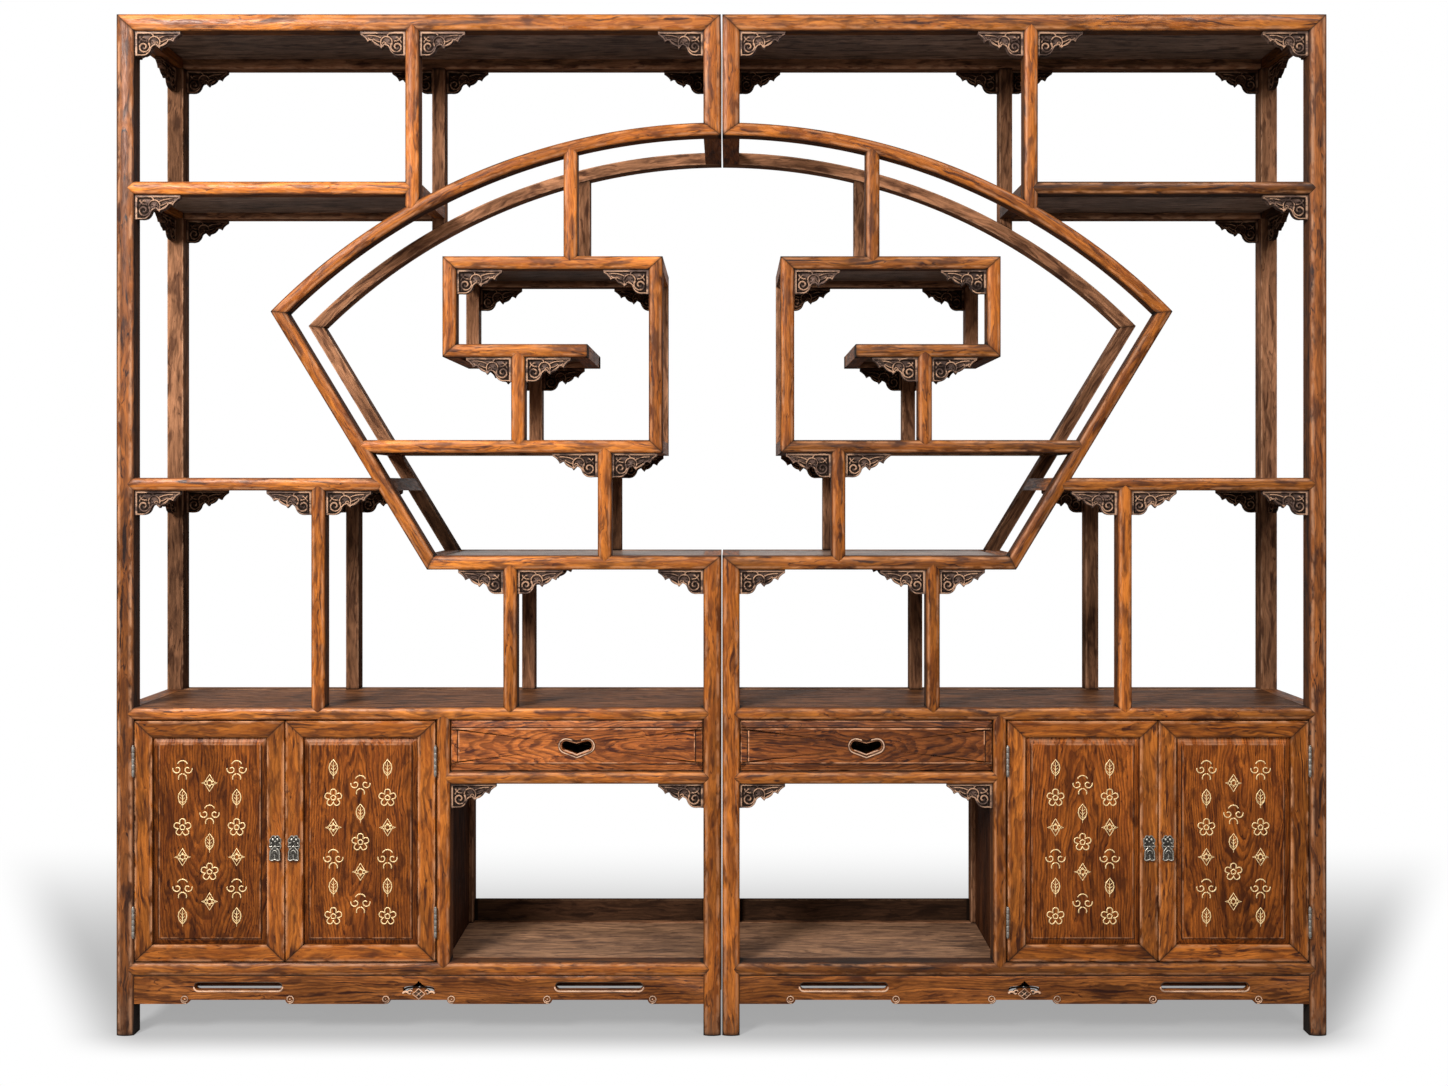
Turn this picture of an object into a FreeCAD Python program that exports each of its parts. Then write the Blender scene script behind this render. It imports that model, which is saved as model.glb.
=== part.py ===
import FreeCAD, Part
import math
import os

# A mirrored pair of open display cabinets that share one fan-shaped bay. Sizes in millimetres.
# X runs along the front, Y from front to back, Z up. The origin lies on the floor under the middle
# of the pair. One unit is worked out on the +X side and mirrored for the other.

# The pair as a whole
depth = 300
pair_gap = 3
overrun = 5
seat_clearance = 0.3

# Posts and joints of the front and rear frames
post_width = 34
post_depth = 36
divider_width = 27
face_swell = 3.5
tongue_depth = 12
tenon_setback = 16
tenon_thickness = 10
tenon_length = 15
tenon_shoulder = 6
end_rail_tenon_length = 8

# Heights, stacked from the floor up
foot_height = 117
floor_rail_height = 26
cupboard_height = 475
counter_rail_height = 24
sill_rise = 270
sill_rail_height = 27
long_shelf_rise = 202
shelf_rail_height = 25
middle_shelf_rise = 163
box_height = 147
crown_rise = 262
top_bay_height = 180
top_rail_height = 32
second_shelf_rise = 25
side_shelf_rise = 425
drawer_opening_height = 101.5
drawer_rail_height = 24

# Widths, from the middle of the pair outwards
open_bay_width = 496
partition_width = 26.5
cupboard_width = 593
upper_divider_centre = 606
outer_divider_centre = 790
inner_divider_centre = 414

# The fan-shaped bay
fan_tip_reach = 883.6
fan_tip_drop = 370
fan_foot_reach = 577
fan_rail_width = 25
fan_side_width = 26

# The scroll-shaped shelves inside the fan
box_setback = 80
box_width = 431.3
middle_shelf_length = 283.8
stem_offset = 180.5
prop_offset = 113.5
short_post_offset = 135.6

# Boards and panels
board_recess = 0.5
board_thickness = 12
board_tongue_thickness = 6
groove_depth = 5
panel_thickness = 8
panel_setback = 10
back_panel_thickness = 6
back_panel_setback = 2
lip_height = 44.6
lip_thickness = 12
lip_setback = 6

# Carved corner brackets
bracket_length = 91
bracket_height = 48
bracket_thickness = 12
bracket_setback = 8
bracket_outline_shares = [
    (0, 0), (0, 1), (0.11, 1), (0.27, 0.95, 0.36, 0.70), (0.39, 0.62, 0.45, 0.56), (0.53, 0.72),
    (0.56, 0.63), (0.67, 0.54, 0.73, 0.38), (0.76, 0.37), (0.83, 0.44), (0.88, 0.28, 0.98, 0.14), (0.98, 0),
]

# Aprons under the floor rails
apron_height = 56
apron_rise = 8
apron_thickness = 14
apron_setback = 5
pendant_radius = 9.5
pendant_shares = [0.116, 0.452, 0.821]
slot_share = 0.634
slot_length = 170
slot_height = 14.7
slot_drop = 14.3
ornament_width = 62
ornament_height = 22
ornament_drop = 14
ornament_lobe_radius = 9

# Doors
door_gap = 2.4
door_setback = 1
door_thickness = 22
stile_width = 34
door_rail_width = 32
door_panel_bevel = 13.5
door_panel_rise = 6
door_panel_setback = 8
door_panel_thickness = 6

# Hinges
hinge_length = 57
hinge_inset = 49
hinge_standoff = 3.3
barrel_radius = 3
hinge_pin_radius = 1.2
hinge_pin_clearance = 0.05
knuckle_gap = 0.3
knuckle_count = 5
leaf_clearance = 0.2
leaf_depth = 18
finial_radius = 2.2
finial_length = 2.5

# Lock plates and hanging pulls
lock_plate_width = 24.5
lock_plate_height = 36
lock_plate_thickness = 1.2
lock_plate_drop = 5.5
lock_plate_foot_share = 0.62
pivot_standoff = 3.4
pivot_drop = 21
pivot_pin_radius = 0.95
pivot_clearance = 0.05
loop_radius = 2.2
loop_length = 5
lug_width = 1.5
lug_gap = 0.25
lug_height = 4
pull_length = 28
pull_width = 21
pull_waist_width = 10
pull_thickness = 2

# Drawers
drawer_gap = 2
drawer_front_thickness = 20
drawer_bevel = 14
drawer_bevel_depth = 4
drawer_back_clearance = 23
drawer_side_thickness = 10
drawer_side_drop = 10
drawer_bottom_thickness = 5
drawer_bottom_rise = 6
drawer_groove_depth = 4
bearer_width = 24
guide_height = 26
side_board_thickness = 8
finger_hole_lobe_radius = 12
finger_hole_lobe_offset = 17
finger_hole_notch = 6
finger_hole_point = 13

# Levels
floor_under = foot_height
floor_top = floor_under + floor_rail_height
counter_under = floor_top + cupboard_height
counter_top = counter_under + counter_rail_height
drawer_rail_top = counter_under - drawer_opening_height
drawer_rail_under = drawer_rail_top - drawer_rail_height
sill_under = counter_top + sill_rise
sill_top = sill_under + sill_rail_height
long_under = sill_top + long_shelf_rise
long_top = long_under + shelf_rail_height
middle_under = long_top + middle_shelf_rise
middle_top = middle_under + shelf_rail_height
box_under = middle_top + box_height
box_top = box_under + shelf_rail_height
crown_level = box_top + crown_rise
top_under = crown_level + top_bay_height
top_level = top_under + top_rail_height
side_under = counter_top + side_shelf_rise
side_top = side_under + shelf_rail_height

# Places along the front
inner_side = pair_gap / 2
inner_face = inner_side + post_width
partition_start = inner_face + open_bay_width
partition_end = partition_start + partition_width
outer_face = partition_end + cupboard_width
outer_side = outer_face + post_width
box_start = inner_face + box_setback
box_end = box_start + box_width
middle_end = box_end - middle_shelf_length
stem_centre = box_start + stem_offset
prop_centre = box_start + prop_offset
short_post_centre = middle_end + short_post_offset
panel_start = partition_start + (partition_width - panel_thickness) / 2

# Planes from front to back
pull_proud = lock_plate_thickness + pivot_standoff + loop_radius - door_setback
hinge_proud = hinge_standoff + barrel_radius - door_setback
front_proud = max(pull_proud, hinge_proud)
y_front = (front_proud - depth) / 2
y_front_back = y_front + post_depth
y_rear = y_front + depth
y_rear_face = y_rear - post_depth
y_door = y_front + door_setback
y_hinge = y_door - hinge_standoff
y_pivot = y_door - lock_plate_thickness - pivot_standoff
drawer_box_depth = y_rear_face + back_panel_setback - drawer_back_clearance - y_door - drawer_front_thickness

# The fan's circle and slanted line
fan_radius = (fan_tip_reach ** 2 + fan_tip_drop ** 2) / (2 * fan_tip_drop)
fan_centre = crown_level - fan_radius
fan_tip = (fan_tip_reach, crown_level - fan_tip_drop)
fan_foot = (fan_foot_reach, sill_under)
fan_side_length = math.dist(fan_foot, fan_tip)
fan_side_way = ((fan_tip[0] - fan_foot[0]) / fan_side_length, (fan_tip[1] - fan_foot[1]) / fan_side_length)
fan_side_normal = (-fan_side_way[1], fan_side_way[0])


class Piece:
    """One solid, and the joint solids that the pieces it enters are cut with."""

    def __init__(self, solid, joints=()):
        self.solid = solid
        self.joints = list(joints)


def vec(x, y, z):
    return FreeCAD.Vector(x, y, z)


def moved(point, way, distance):
    """A point of the front's plane, (x, z), moved along a unit direction."""
    return (point[0] + way[0] * distance, point[1] + way[1] * distance)


def plate(points, y_start, y_end):
    """A prism over an outline of (x, z) points, from one plane back to another."""
    corners = [vec(x, y_start, z) for x, z in points]
    face = Part.Face(Part.makePolygon(corners + corners[:1]))
    return face.extrude(vec(0, y_end - y_start, 0))


def block(x_start, x_end, y_start, y_end, z_start, z_end):
    """A box between two corners."""
    corner = vec(x_start, y_start, z_start)
    return Part.makeBox(x_end - x_start, y_end - y_start, z_end - z_start, corner)


def rectangle(x_start, x_end, z_start, z_end):
    return [(x_start, z_start), (x_end, z_start), (x_end, z_end), (x_start, z_end)]


def united(solids):
    """Solids that touch or overlap, as one solid without seams."""
    return solids[0].multiFuse(solids[1:]).removeSplitter()


def swelled_section(middle, normal, width):
    """The section of a front bar: flat sides and back, and a face that swells to the front plane."""
    one = moved(middle, normal, width / 2)
    other = moved(middle, normal, -width / 2)
    edge_one = vec(one[0], y_front + face_swell, one[1])
    edge_other = vec(other[0], y_front + face_swell, other[1])
    back_one = vec(one[0], y_front_back, one[1])
    back_other = vec(other[0], y_front_back, other[1])
    edges = [
        Part.Arc(edge_one, vec(middle[0], y_front, middle[1]), edge_other).toShape(),
        Part.LineSegment(edge_other, back_other).toShape(),
        Part.LineSegment(back_other, back_one).toShape(),
        Part.LineSegment(back_one, edge_one).toShape(),
    ]
    return Part.Face(Part.Wire(edges))


def swelled_bar(start, end, width):
    """A swelled bar along a centre line, a little longer than it at both ends."""
    length = math.dist(start, end)
    way = ((end[0] - start[0]) / length, (end[1] - start[1]) / length)
    normal = (-way[1], way[0])
    extra = post_width + overrun
    section = swelled_section(moved(start, way, -extra), normal, width)
    travel = length + 2 * extra
    return section.extrude(vec(way[0] * travel, 0, way[1] * travel))


def bar_pair(outline, start, end, width, tongues=(), tenons=()):
    """The same straight bar in the front frame, with its swelled face, and in the flat rear frame."""
    front_tenon = y_front + tenon_setback
    rear_tenon = y_rear - tenon_setback
    front_joints = [plate(tongue, y_front - overrun, y_front + tongue_depth) for tongue in tongues]
    front_joints += [plate(tenon, front_tenon, front_tenon + tenon_thickness) for tenon in tenons]
    rear_joints = [plate(tenon, rear_tenon - tenon_thickness, rear_tenon) for tenon in tenons]
    blank = united([plate(outline, y_front - overrun, y_front_back)] + front_joints)
    front = blank.common(swelled_bar(start, end, width))
    rear = united([plate(outline, y_rear_face, y_rear)] + rear_joints)
    return [Piece(front, front_joints), Piece(rear, rear_joints)]


def end_joint(foot, way, width, carrier):
    """The mitred tongue and the blind tenon at one end of a bar that meets a carrier squarely."""
    half = width / 2
    normal = (-way[1], way[0])
    reach = min(half, carrier / 2)
    tongue = [moved(foot, normal, half), moved(foot, way, reach), moved(foot, normal, -half)]
    inner = half - tenon_shoulder
    tip = moved(foot, way, tenon_length)
    tenon = [moved(foot, normal, inner), moved(tip, normal, inner)]
    tenon += [moved(tip, normal, -inner), moved(foot, normal, -inner)]
    return tongue, tenon


def cross_pair(start, end, width, start_carrier, end_carrier):
    """Front and rear bars that stand squarely between two carriers of the given widths."""
    length = math.dist(start, end)
    way = ((end[0] - start[0]) / length, (end[1] - start[1]) / length)
    back = (-way[0], -way[1])
    normal = (-way[1], way[0])
    outline = [moved(start, normal, width / 2), moved(end, normal, width / 2)]
    outline += [moved(end, normal, -width / 2), moved(start, normal, -width / 2)]
    first_tongue, first_tenon = end_joint(start, back, width, start_carrier)
    last_tongue, last_tenon = end_joint(end, way, width, end_carrier)
    return bar_pair(outline, start, end, width, [first_tongue, last_tongue], [first_tenon, last_tenon])


def upright(x, z_start, z_end, width, start_carrier, end_carrier):
    return cross_pair((x, z_start), (x, z_end), width, start_carrier, end_carrier)


def level(x_start, x_end, z_start, z_end, start_carrier, end_carrier):
    middle = (z_start + z_end) / 2
    return cross_pair((x_start, middle), (x_end, middle), z_end - z_start, start_carrier, end_carrier)


def mitred_pair(outline, width, tongues=()):
    """Bars cut to a mitre: the first and last points lie on one end, the middle two on the other."""
    start = ((outline[0][0] + outline[3][0]) / 2, (outline[0][1] + outline[3][1]) / 2)
    end = ((outline[1][0] + outline[2][0]) / 2, (outline[1][1] + outline[2][1]) / 2)
    return bar_pair(outline, start, end, width, tongues)


def fan_height(x, inset):
    """The height of the fan's curve above a place on the front, inset towards the circle's centre."""
    return fan_centre + math.sqrt((fan_radius - inset) ** 2 - x ** 2)


def side_reach(z, inset):
    """The place of the fan's slanted line at a height, inset towards the inside of the fan."""
    start = moved(fan_foot, fan_side_normal, inset)
    return start[0] + fan_side_way[0] * (z - start[1]) / fan_side_way[1]


def fan_tip_inside():
    """Where the inner slanted line meets the inner circle."""
    start = moved(fan_foot, fan_side_normal, fan_side_width)
    to_centre = (start[0], start[1] - fan_centre)
    along = to_centre[0] * fan_side_way[0] + to_centre[1] * fan_side_way[1]
    inner_radius = fan_radius - fan_rail_width
    rest = to_centre[0] ** 2 + to_centre[1] ** 2 - inner_radius ** 2
    return moved(start, fan_side_way, -along + math.sqrt(along ** 2 - rest))


def circle_edge(start, end, radius, y):
    """An arc about the fan's centre between two points of the front's plane."""
    angle = (math.atan2(start[0], start[1] - fan_centre) + math.atan2(end[0], end[1] - fan_centre)) / 2
    middle = (radius * math.sin(angle), fan_centre + radius * math.cos(angle))
    points = [vec(point[0], y, point[1]) for point in (start, middle, end)]
    return Part.Arc(*points).toShape()


def straight_edge(start, end, y):
    return Part.LineSegment(vec(start[0], y, start[1]), vec(end[0], y, end[1])).toShape()


def fan_rail_plate(y_start, y_end):
    """The curved rail's outline, mitred to the upper inner post and to the slanted side, as a flat plate."""
    post_outside = (inner_face, fan_height(inner_face, 0))
    post_inside = (inner_side, fan_height(inner_side, fan_rail_width))
    tip_inside = fan_tip_inside()
    edges = [
        circle_edge(post_outside, fan_tip, fan_radius, y_start),
        straight_edge(fan_tip, tip_inside, y_start),
        circle_edge(tip_inside, post_inside, fan_radius - fan_rail_width, y_start),
        straight_edge(post_inside, post_outside, y_start),
    ]
    return Part.Face(Part.Wire(edges)).extrude(vec(0, y_end - y_start, 0))


def fan_rails():
    """The curved rails: the front one with its swelled face, and the flat rear one."""
    section = swelled_section((0, fan_centre + fan_radius - fan_rail_width / 2), (0, 1), fan_rail_width)
    sweep = 2 * math.degrees(math.atan2(fan_tip[0], fan_tip[1] - fan_centre))
    centre = vec(0, 0, fan_centre)
    section.rotate(centre, vec(0, 1, 0), -sweep / 4)
    swelled = section.revolve(centre, vec(0, 1, 0), sweep)
    front = fan_rail_plate(y_front - overrun, y_front_back).common(swelled)
    return [Piece(front), Piece(fan_rail_plate(y_rear_face, y_rear))]


def fan_sides():
    """The slanted sides, mitred to the curved rails above and to the sill below."""
    outline = [fan_foot, fan_tip, fan_tip_inside(), (side_reach(sill_top, fan_side_width), sill_top)]
    middle = moved(fan_foot, fan_side_normal, fan_side_width / 2)
    end = moved(middle, fan_side_way, fan_side_length)
    return bar_pair(outline, middle, end, fan_side_width)


def end_rail(outline):
    """A rail from the front frame back to the rear frame, over an outline of four (x, z) points."""
    bottom = [outline[0], outline[1]]
    top = [outline[3], outline[2]]
    width = bottom[1][0] - bottom[0][0]
    height = top[0][1] - bottom[0][1]
    near_share = (1 - tenon_thickness / width) / 2
    far_share = 1 - near_share
    low_share = tenon_shoulder / height
    high_share = 1 - low_share
    tenon = [between(bottom, top, near_share, low_share), between(bottom, top, far_share, low_share)]
    tenon += [between(bottom, top, far_share, high_share), between(bottom, top, near_share, high_share)]
    joints = [plate(tenon, y_front_back - end_rail_tenon_length, y_front_back),
              plate(tenon, y_rear_face, y_rear_face + end_rail_tenon_length)]
    return Piece(united([plate(outline, y_front_back, y_rear_face)] + joints), joints)


def between(bottom, top, across_share, up_share):
    """A point inside a four-cornered outline, by its share across and its share up."""
    low = [bottom[0][i] + (bottom[1][i] - bottom[0][i]) * across_share for i in (0, 1)]
    high = [top[0][i] + (top[1][i] - top[0][i]) * across_share for i in (0, 1)]
    return (low[0] + (high[0] - low[0]) * up_share, low[1] + (high[1] - low[1]) * up_share)


def slanted_footprint(z_start, z_end):
    """The outline that the fan's slanted side covers between two levels."""
    return [(side_reach(z_start, fan_side_width), z_start), (side_reach(z_start, 0), z_start),
            (side_reach(z_end, 0), z_end), (side_reach(z_end, fan_side_width), z_end)]


def shelf_board(rail_top, start_line, end_line):
    """A board let into the rails around it. The lines give its two ends at a height."""
    top = rail_top - board_recess
    under = top - board_thickness
    tongue_top = under + board_tongue_thickness
    body = [(start_line(under), under), (end_line(under), under)]
    body += [(end_line(top), top), (start_line(top), top)]
    tongue = [(start_line(under) - groove_depth, under), (end_line(under) + groove_depth, under)]
    tongue += [(end_line(tongue_top) + groove_depth, tongue_top)]
    tongue += [(start_line(tongue_top) - groove_depth, tongue_top)]
    joint = plate(tongue, y_front_back - groove_depth, y_rear_face + groove_depth)
    return Piece(united([plate(body, y_front_back, y_rear_face), joint]), [joint])


def at(x):
    """An end line of a board that is upright."""
    return lambda z: x


def slant(inset):
    """An end line of a board that follows the fan's slanted side."""
    return lambda z: side_reach(z, inset)


def grooved_panel(*corners):
    """A flat panel whose edges sit in grooves of the frame around it."""
    panel = block(*corners)
    return Piece(panel, [panel])


def post_groups():
    """Upright posts of one unit."""
    inner_curve = fan_height(inner_face, 0)
    crown_inside = fan_height(inner_side, fan_rail_width)
    upper = [(inner_side, top_level), (inner_side, crown_inside)]
    upper += [(inner_face, inner_curve), (inner_face, top_under)]
    lower = [(inner_face, 0), (inner_face, sill_under), (inner_side, sill_top), (inner_side, 0)]
    outer = [(outer_face, 0), (outer_face, top_under), (outer_side, top_level), (outer_side, 0)]
    outer_divider = upright(outer_divider_centre, counter_top, side_under, divider_width,
                            counter_rail_height, shelf_rail_height)
    inner_divider = upright(inner_divider_centre, counter_top, sill_under, divider_width,
                            counter_rail_height, sill_rail_height)
    return {
        "outer_posts": mitred_post(outer),
        "inner_posts": mitred_post(upper) + mitred_post(lower),
        "divider_posts": upper_divider() + outer_divider + inner_divider,
        "scroll_posts": scroll_posts(),
    }


def mitred_post(outline):
    """A post with mitred ends, on the upright centre line of its outline."""
    middle = (outline[0][0] + outline[2][0]) / 2
    heights = [z for x, z in outline]
    return bar_pair(outline, (middle, min(heights)), (middle, max(heights)), post_width)


def post_on_curve(x, foot, inset, carrier):
    """A divider between a level rail and the fan's curve, with a tongue into each."""
    half = divider_width / 2
    curve = [(x - half, fan_height(x - half, inset)), (x + half, fan_height(x + half, inset))]
    way = (0, math.copysign(1, foot - curve[0][1]))
    outline = [(x - half, foot), curve[0], curve[1], (x + half, foot)]
    level_tongue, level_tenon = end_joint((x, foot), way, divider_width, carrier)
    curve_tongue = [curve[0], (x, fan_height(x, fan_rail_width / 2)), curve[1]]
    pieces = bar_pair(outline, (x, foot), (x, curve[0][1]), divider_width,
                      [level_tongue, curve_tongue], [level_tenon])
    pieces[0].joints.append(plate(outline, y_front - overrun, y_front_back))
    pieces[1].joints.append(plate(outline, y_rear_face, y_rear))
    return pieces


def upper_divider():
    return post_on_curve(upper_divider_centre, top_under, 0, top_rail_height)


def scroll_posts():
    """Stem, box sides, short post and prop, front and rear."""
    inner_box = [(box_start, box_top), (box_start, long_under)]
    inner_box += [(box_start + divider_width, long_top), (box_start + divider_width, box_under)]
    outer_box = [(box_end, middle_under), (box_end, box_top)]
    outer_box += [(box_end - divider_width, box_under), (box_end - divider_width, middle_top)]
    stem = post_on_curve(stem_centre, box_top, fan_rail_width, shelf_rail_height)
    short_post = upright(short_post_centre, long_top, middle_under, divider_width,
                         shelf_rail_height, shelf_rail_height)
    prop = upright(prop_centre, sill_top, long_under, divider_width, sill_rail_height, shelf_rail_height)
    box_sides = mitred_pair(inner_box, divider_width) + mitred_pair(outer_box, divider_width)
    return stem + box_sides + short_post + prop


def top_frame():
    outline = [(inner_side, top_level), (inner_face, top_under)]
    outline += [(outer_face, top_under), (outer_side, top_level)]
    middle = (top_under + top_level) / 2
    rails = bar_pair(outline, (inner_side, middle), (outer_side, middle), top_rail_height)
    inner_end = end_rail(rectangle(inner_side, inner_face, top_under, top_level))
    outer_end = end_rail(rectangle(outer_face, outer_side, top_under, top_level))
    return rails + [inner_end, outer_end]


def second_shelf_under():
    return fan_height(upper_divider_centre + divider_width / 2, 0) + second_shelf_rise


def second_shelf_frame():
    under = second_shelf_under()
    top = under + shelf_rail_height
    start = upper_divider_centre + divider_width / 2
    rails = level(start, outer_face, under, top, divider_width, post_width)
    inner_end = end_rail(rectangle(start - divider_width, start, under, top))
    return rails + [inner_end, end_rail(rectangle(outer_face, outer_side, under, top))]


def slanted_level(z_start, z_end, square_end, carrier, inset, outwards):
    """Rails from the slanted side of the fan to an upright carrier."""
    middle = (z_start + z_end) / 2
    outline = [(side_reach(z_start, inset), z_start), (square_end, z_start)]
    outline += [(square_end, z_end), (side_reach(z_end, inset), z_end)]
    slanted_tongue = [outline[0], (side_reach(middle, fan_side_width / 2), middle), outline[3]]
    tongue, tenon = end_joint((square_end, middle), (outwards, 0), z_end - z_start, carrier)
    start = (side_reach(middle, inset), middle)
    return bar_pair(outline, start, (square_end, middle), z_end - z_start, [slanted_tongue, tongue], [tenon])


def side_shelf_frame():
    rails = slanted_level(side_under, side_top, outer_face, post_width, 0, 1)
    inner_end = end_rail(slanted_footprint(side_under, side_top))
    return rails + [inner_end, end_rail(rectangle(outer_face, outer_side, side_under, side_top))]


def long_shelf_frame():
    """The long shelf, from the fan's slanted side to the mitred foot of the box's inner post."""
    inner_corner = box_start + divider_width
    outline = [(box_start, long_under), (inner_corner, long_top)]
    outline += [(side_reach(long_top, fan_side_width), long_top)]
    outline += [(side_reach(long_under, fan_side_width), long_under)]
    middle = (long_under + long_top) / 2
    tongue = [outline[2], (side_reach(middle, fan_side_width / 2), middle), outline[3]]
    rails = bar_pair(outline, (box_start, middle), (side_reach(middle, fan_side_width), middle),
                     shelf_rail_height, [tongue])
    inner_end = end_rail(rectangle(box_start, inner_corner, long_under, long_top))
    return rails + [inner_end, end_rail(slanted_footprint(long_under, long_top))]


def middle_shelf_frame():
    """The middle shelf, which hangs from the box's outer post and ends free."""
    outline = [(middle_end, middle_under), (box_end, middle_under)]
    outline += [(box_end - divider_width, middle_top), (middle_end, middle_top)]
    middle = (middle_under + middle_top) / 2
    rails = bar_pair(outline, (middle_end, middle), (box_end, middle), shelf_rail_height)
    free_end = end_rail(rectangle(middle_end, middle_end + divider_width, middle_under, middle_top))
    return rails + [free_end, end_rail(rectangle(box_end - divider_width, box_end, middle_under, middle_top))]


def box_top_frame():
    outline = [(box_start, box_top), (box_start + divider_width, box_under)]
    outline += [(box_end - divider_width, box_under), (box_end, box_top)]
    middle = (box_under + box_top) / 2
    rails = bar_pair(outline, (box_start, middle), (box_end, middle), shelf_rail_height)
    inner_end = end_rail(rectangle(box_start, box_start + divider_width, box_under, box_top))
    return rails + [inner_end, end_rail(rectangle(box_end - divider_width, box_end, box_under, box_top))]


def sill_frame():
    outline = [(inner_side, sill_top), (inner_face, sill_under), fan_foot]
    outline += [(side_reach(sill_top, fan_side_width), sill_top)]
    middle = (sill_under + sill_top) / 2
    rails = bar_pair(outline, (inner_side, middle), (fan_foot_reach, middle), sill_rail_height)
    inner_end = end_rail(rectangle(inner_side, inner_face, sill_under, sill_top))
    return rails + [inner_end, end_rail(slanted_footprint(sill_under, sill_top))]


def counter_frame():
    rails = level(inner_face, outer_face, counter_under, counter_top, post_width, post_width)
    inner_end = end_rail(rectangle(inner_side, inner_face, counter_under, counter_top))
    return rails + [inner_end, end_rail(rectangle(outer_face, outer_side, counter_under, counter_top))]


def floor_frame():
    """The floor's rails, and the lip at the back of the open compartment."""
    rails = level(inner_face, outer_face, floor_under, floor_top, post_width, post_width)
    inner_end = end_rail(rectangle(inner_side, inner_face, floor_under, floor_top))
    outer_end = end_rail(rectangle(outer_face, outer_side, floor_under, floor_top))
    lip_back = y_rear - lip_setback
    lip_front = lip_back - lip_thickness
    lip = block(inner_face, partition_start, lip_front, lip_back, floor_top, floor_top + lip_height)
    return rails + [inner_end, outer_end, Piece(lip)]


def shelf_boards():
    second_top = second_shelf_under() + shelf_rail_height
    return [
        shelf_board(top_level, at(inner_face), at(outer_face)),
        shelf_board(second_top, at(upper_divider_centre + divider_width / 2), at(outer_face)),
        shelf_board(side_top, slant(0), at(outer_face)),
        shelf_board(sill_top, at(inner_face), slant(fan_side_width)),
        shelf_board(box_top, at(box_start + divider_width), at(box_end - divider_width)),
        shelf_board(middle_top, at(middle_end + divider_width), at(box_end - divider_width)),
        shelf_board(long_top, at(box_start + divider_width), slant(fan_side_width)),
    ]


def case_boards():
    return [shelf_board(counter_top, at(inner_face), at(outer_face)),
            shelf_board(floor_top, at(inner_face), at(outer_face))]


def cupboard_case():
    """Partition posts and panel, outer side panel, and the back panels of cupboard and drawer."""
    middle = partition_start + partition_width / 2
    posts = upright(middle, floor_top, counter_under, partition_width, floor_rail_height, counter_rail_height)
    front, rear = y_front_back - groove_depth, y_rear_face + groove_depth
    board_top = floor_top - board_recess
    board_under = counter_top - board_recess - board_thickness
    partition = grooved_panel(panel_start, panel_start + panel_thickness, front, rear, board_top, board_under)
    side_start = outer_face + panel_setback
    side = grooved_panel(side_start, side_start + panel_thickness, front, rear,
                         floor_top - groove_depth, counter_under + groove_depth)
    back_start = y_rear_face + back_panel_setback
    back_end = back_start + back_panel_thickness
    back = grooved_panel(partition_end - groove_depth, outer_face + groove_depth, back_start, back_end,
                         floor_top - groove_depth, counter_under + groove_depth)
    drawer_back = grooved_panel(inner_face - groove_depth, partition_start + groove_depth,
                                back_start, back_end,
                                drawer_rail_top - groove_depth, counter_under + groove_depth)
    return posts + [partition, side, back, drawer_back]


def drawer_rails():
    """Rails below the drawer, the bearers that its sides run on, its guide and its side board."""
    rails = level(inner_face, partition_start, drawer_rail_under, drawer_rail_top,
                  post_width, partition_width)
    bearer_end = inner_face + bearer_width
    inner_bearer = end_rail(rectangle(inner_side, bearer_end, drawer_rail_under, drawer_rail_top))
    bearer_start = partition_start - bearer_width
    bearer = end_rail(rectangle(bearer_start, panel_start, drawer_rail_under, drawer_rail_top))
    guide_top = drawer_rail_top + guide_height
    guide = block(partition_start, panel_start, y_front_back, y_rear_face, drawer_rail_top, guide_top)
    side_start = inner_face - side_board_thickness
    side_board = block(side_start, inner_face, y_front_back, y_rear_face, drawer_rail_top, counter_under)
    return rails + [inner_bearer, bearer, Piece(guide), Piece(side_board)]


def fan_tie():
    """The short rail between the centre ends of the two curved rails."""
    inside = fan_height(inner_side, fan_rail_width)
    return end_rail(rectangle(inner_side, inner_face, inside, inside + fan_rail_width))


def curved_outline(shares, length, height, y):
    """A wire through shares of a length and of a depth: four numbers are an arc's middle and end."""
    places = [[vec(across * length, y, -down * height) for across, down in zip(share[::2], share[1::2])]
              for share in shares]
    edges = []
    last = places[0][0]
    for place in places[1:] + places[:1]:
        if len(place) > 1:
            edges.append(Part.Arc(last, place[0], place[1]).toShape())
        else:
            edges.append(Part.LineSegment(last, place[0]).toShape())
        last = place[-1]
    return Part.Wire(edges)


def bracket():
    """A corner bracket that runs outwards from x = 0 under a rail at z = 0."""
    wire = curved_outline(bracket_outline_shares, bracket_length, bracket_height, 0)
    return Part.Face(wire).extrude(vec(0, bracket_thickness, 0))


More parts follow.
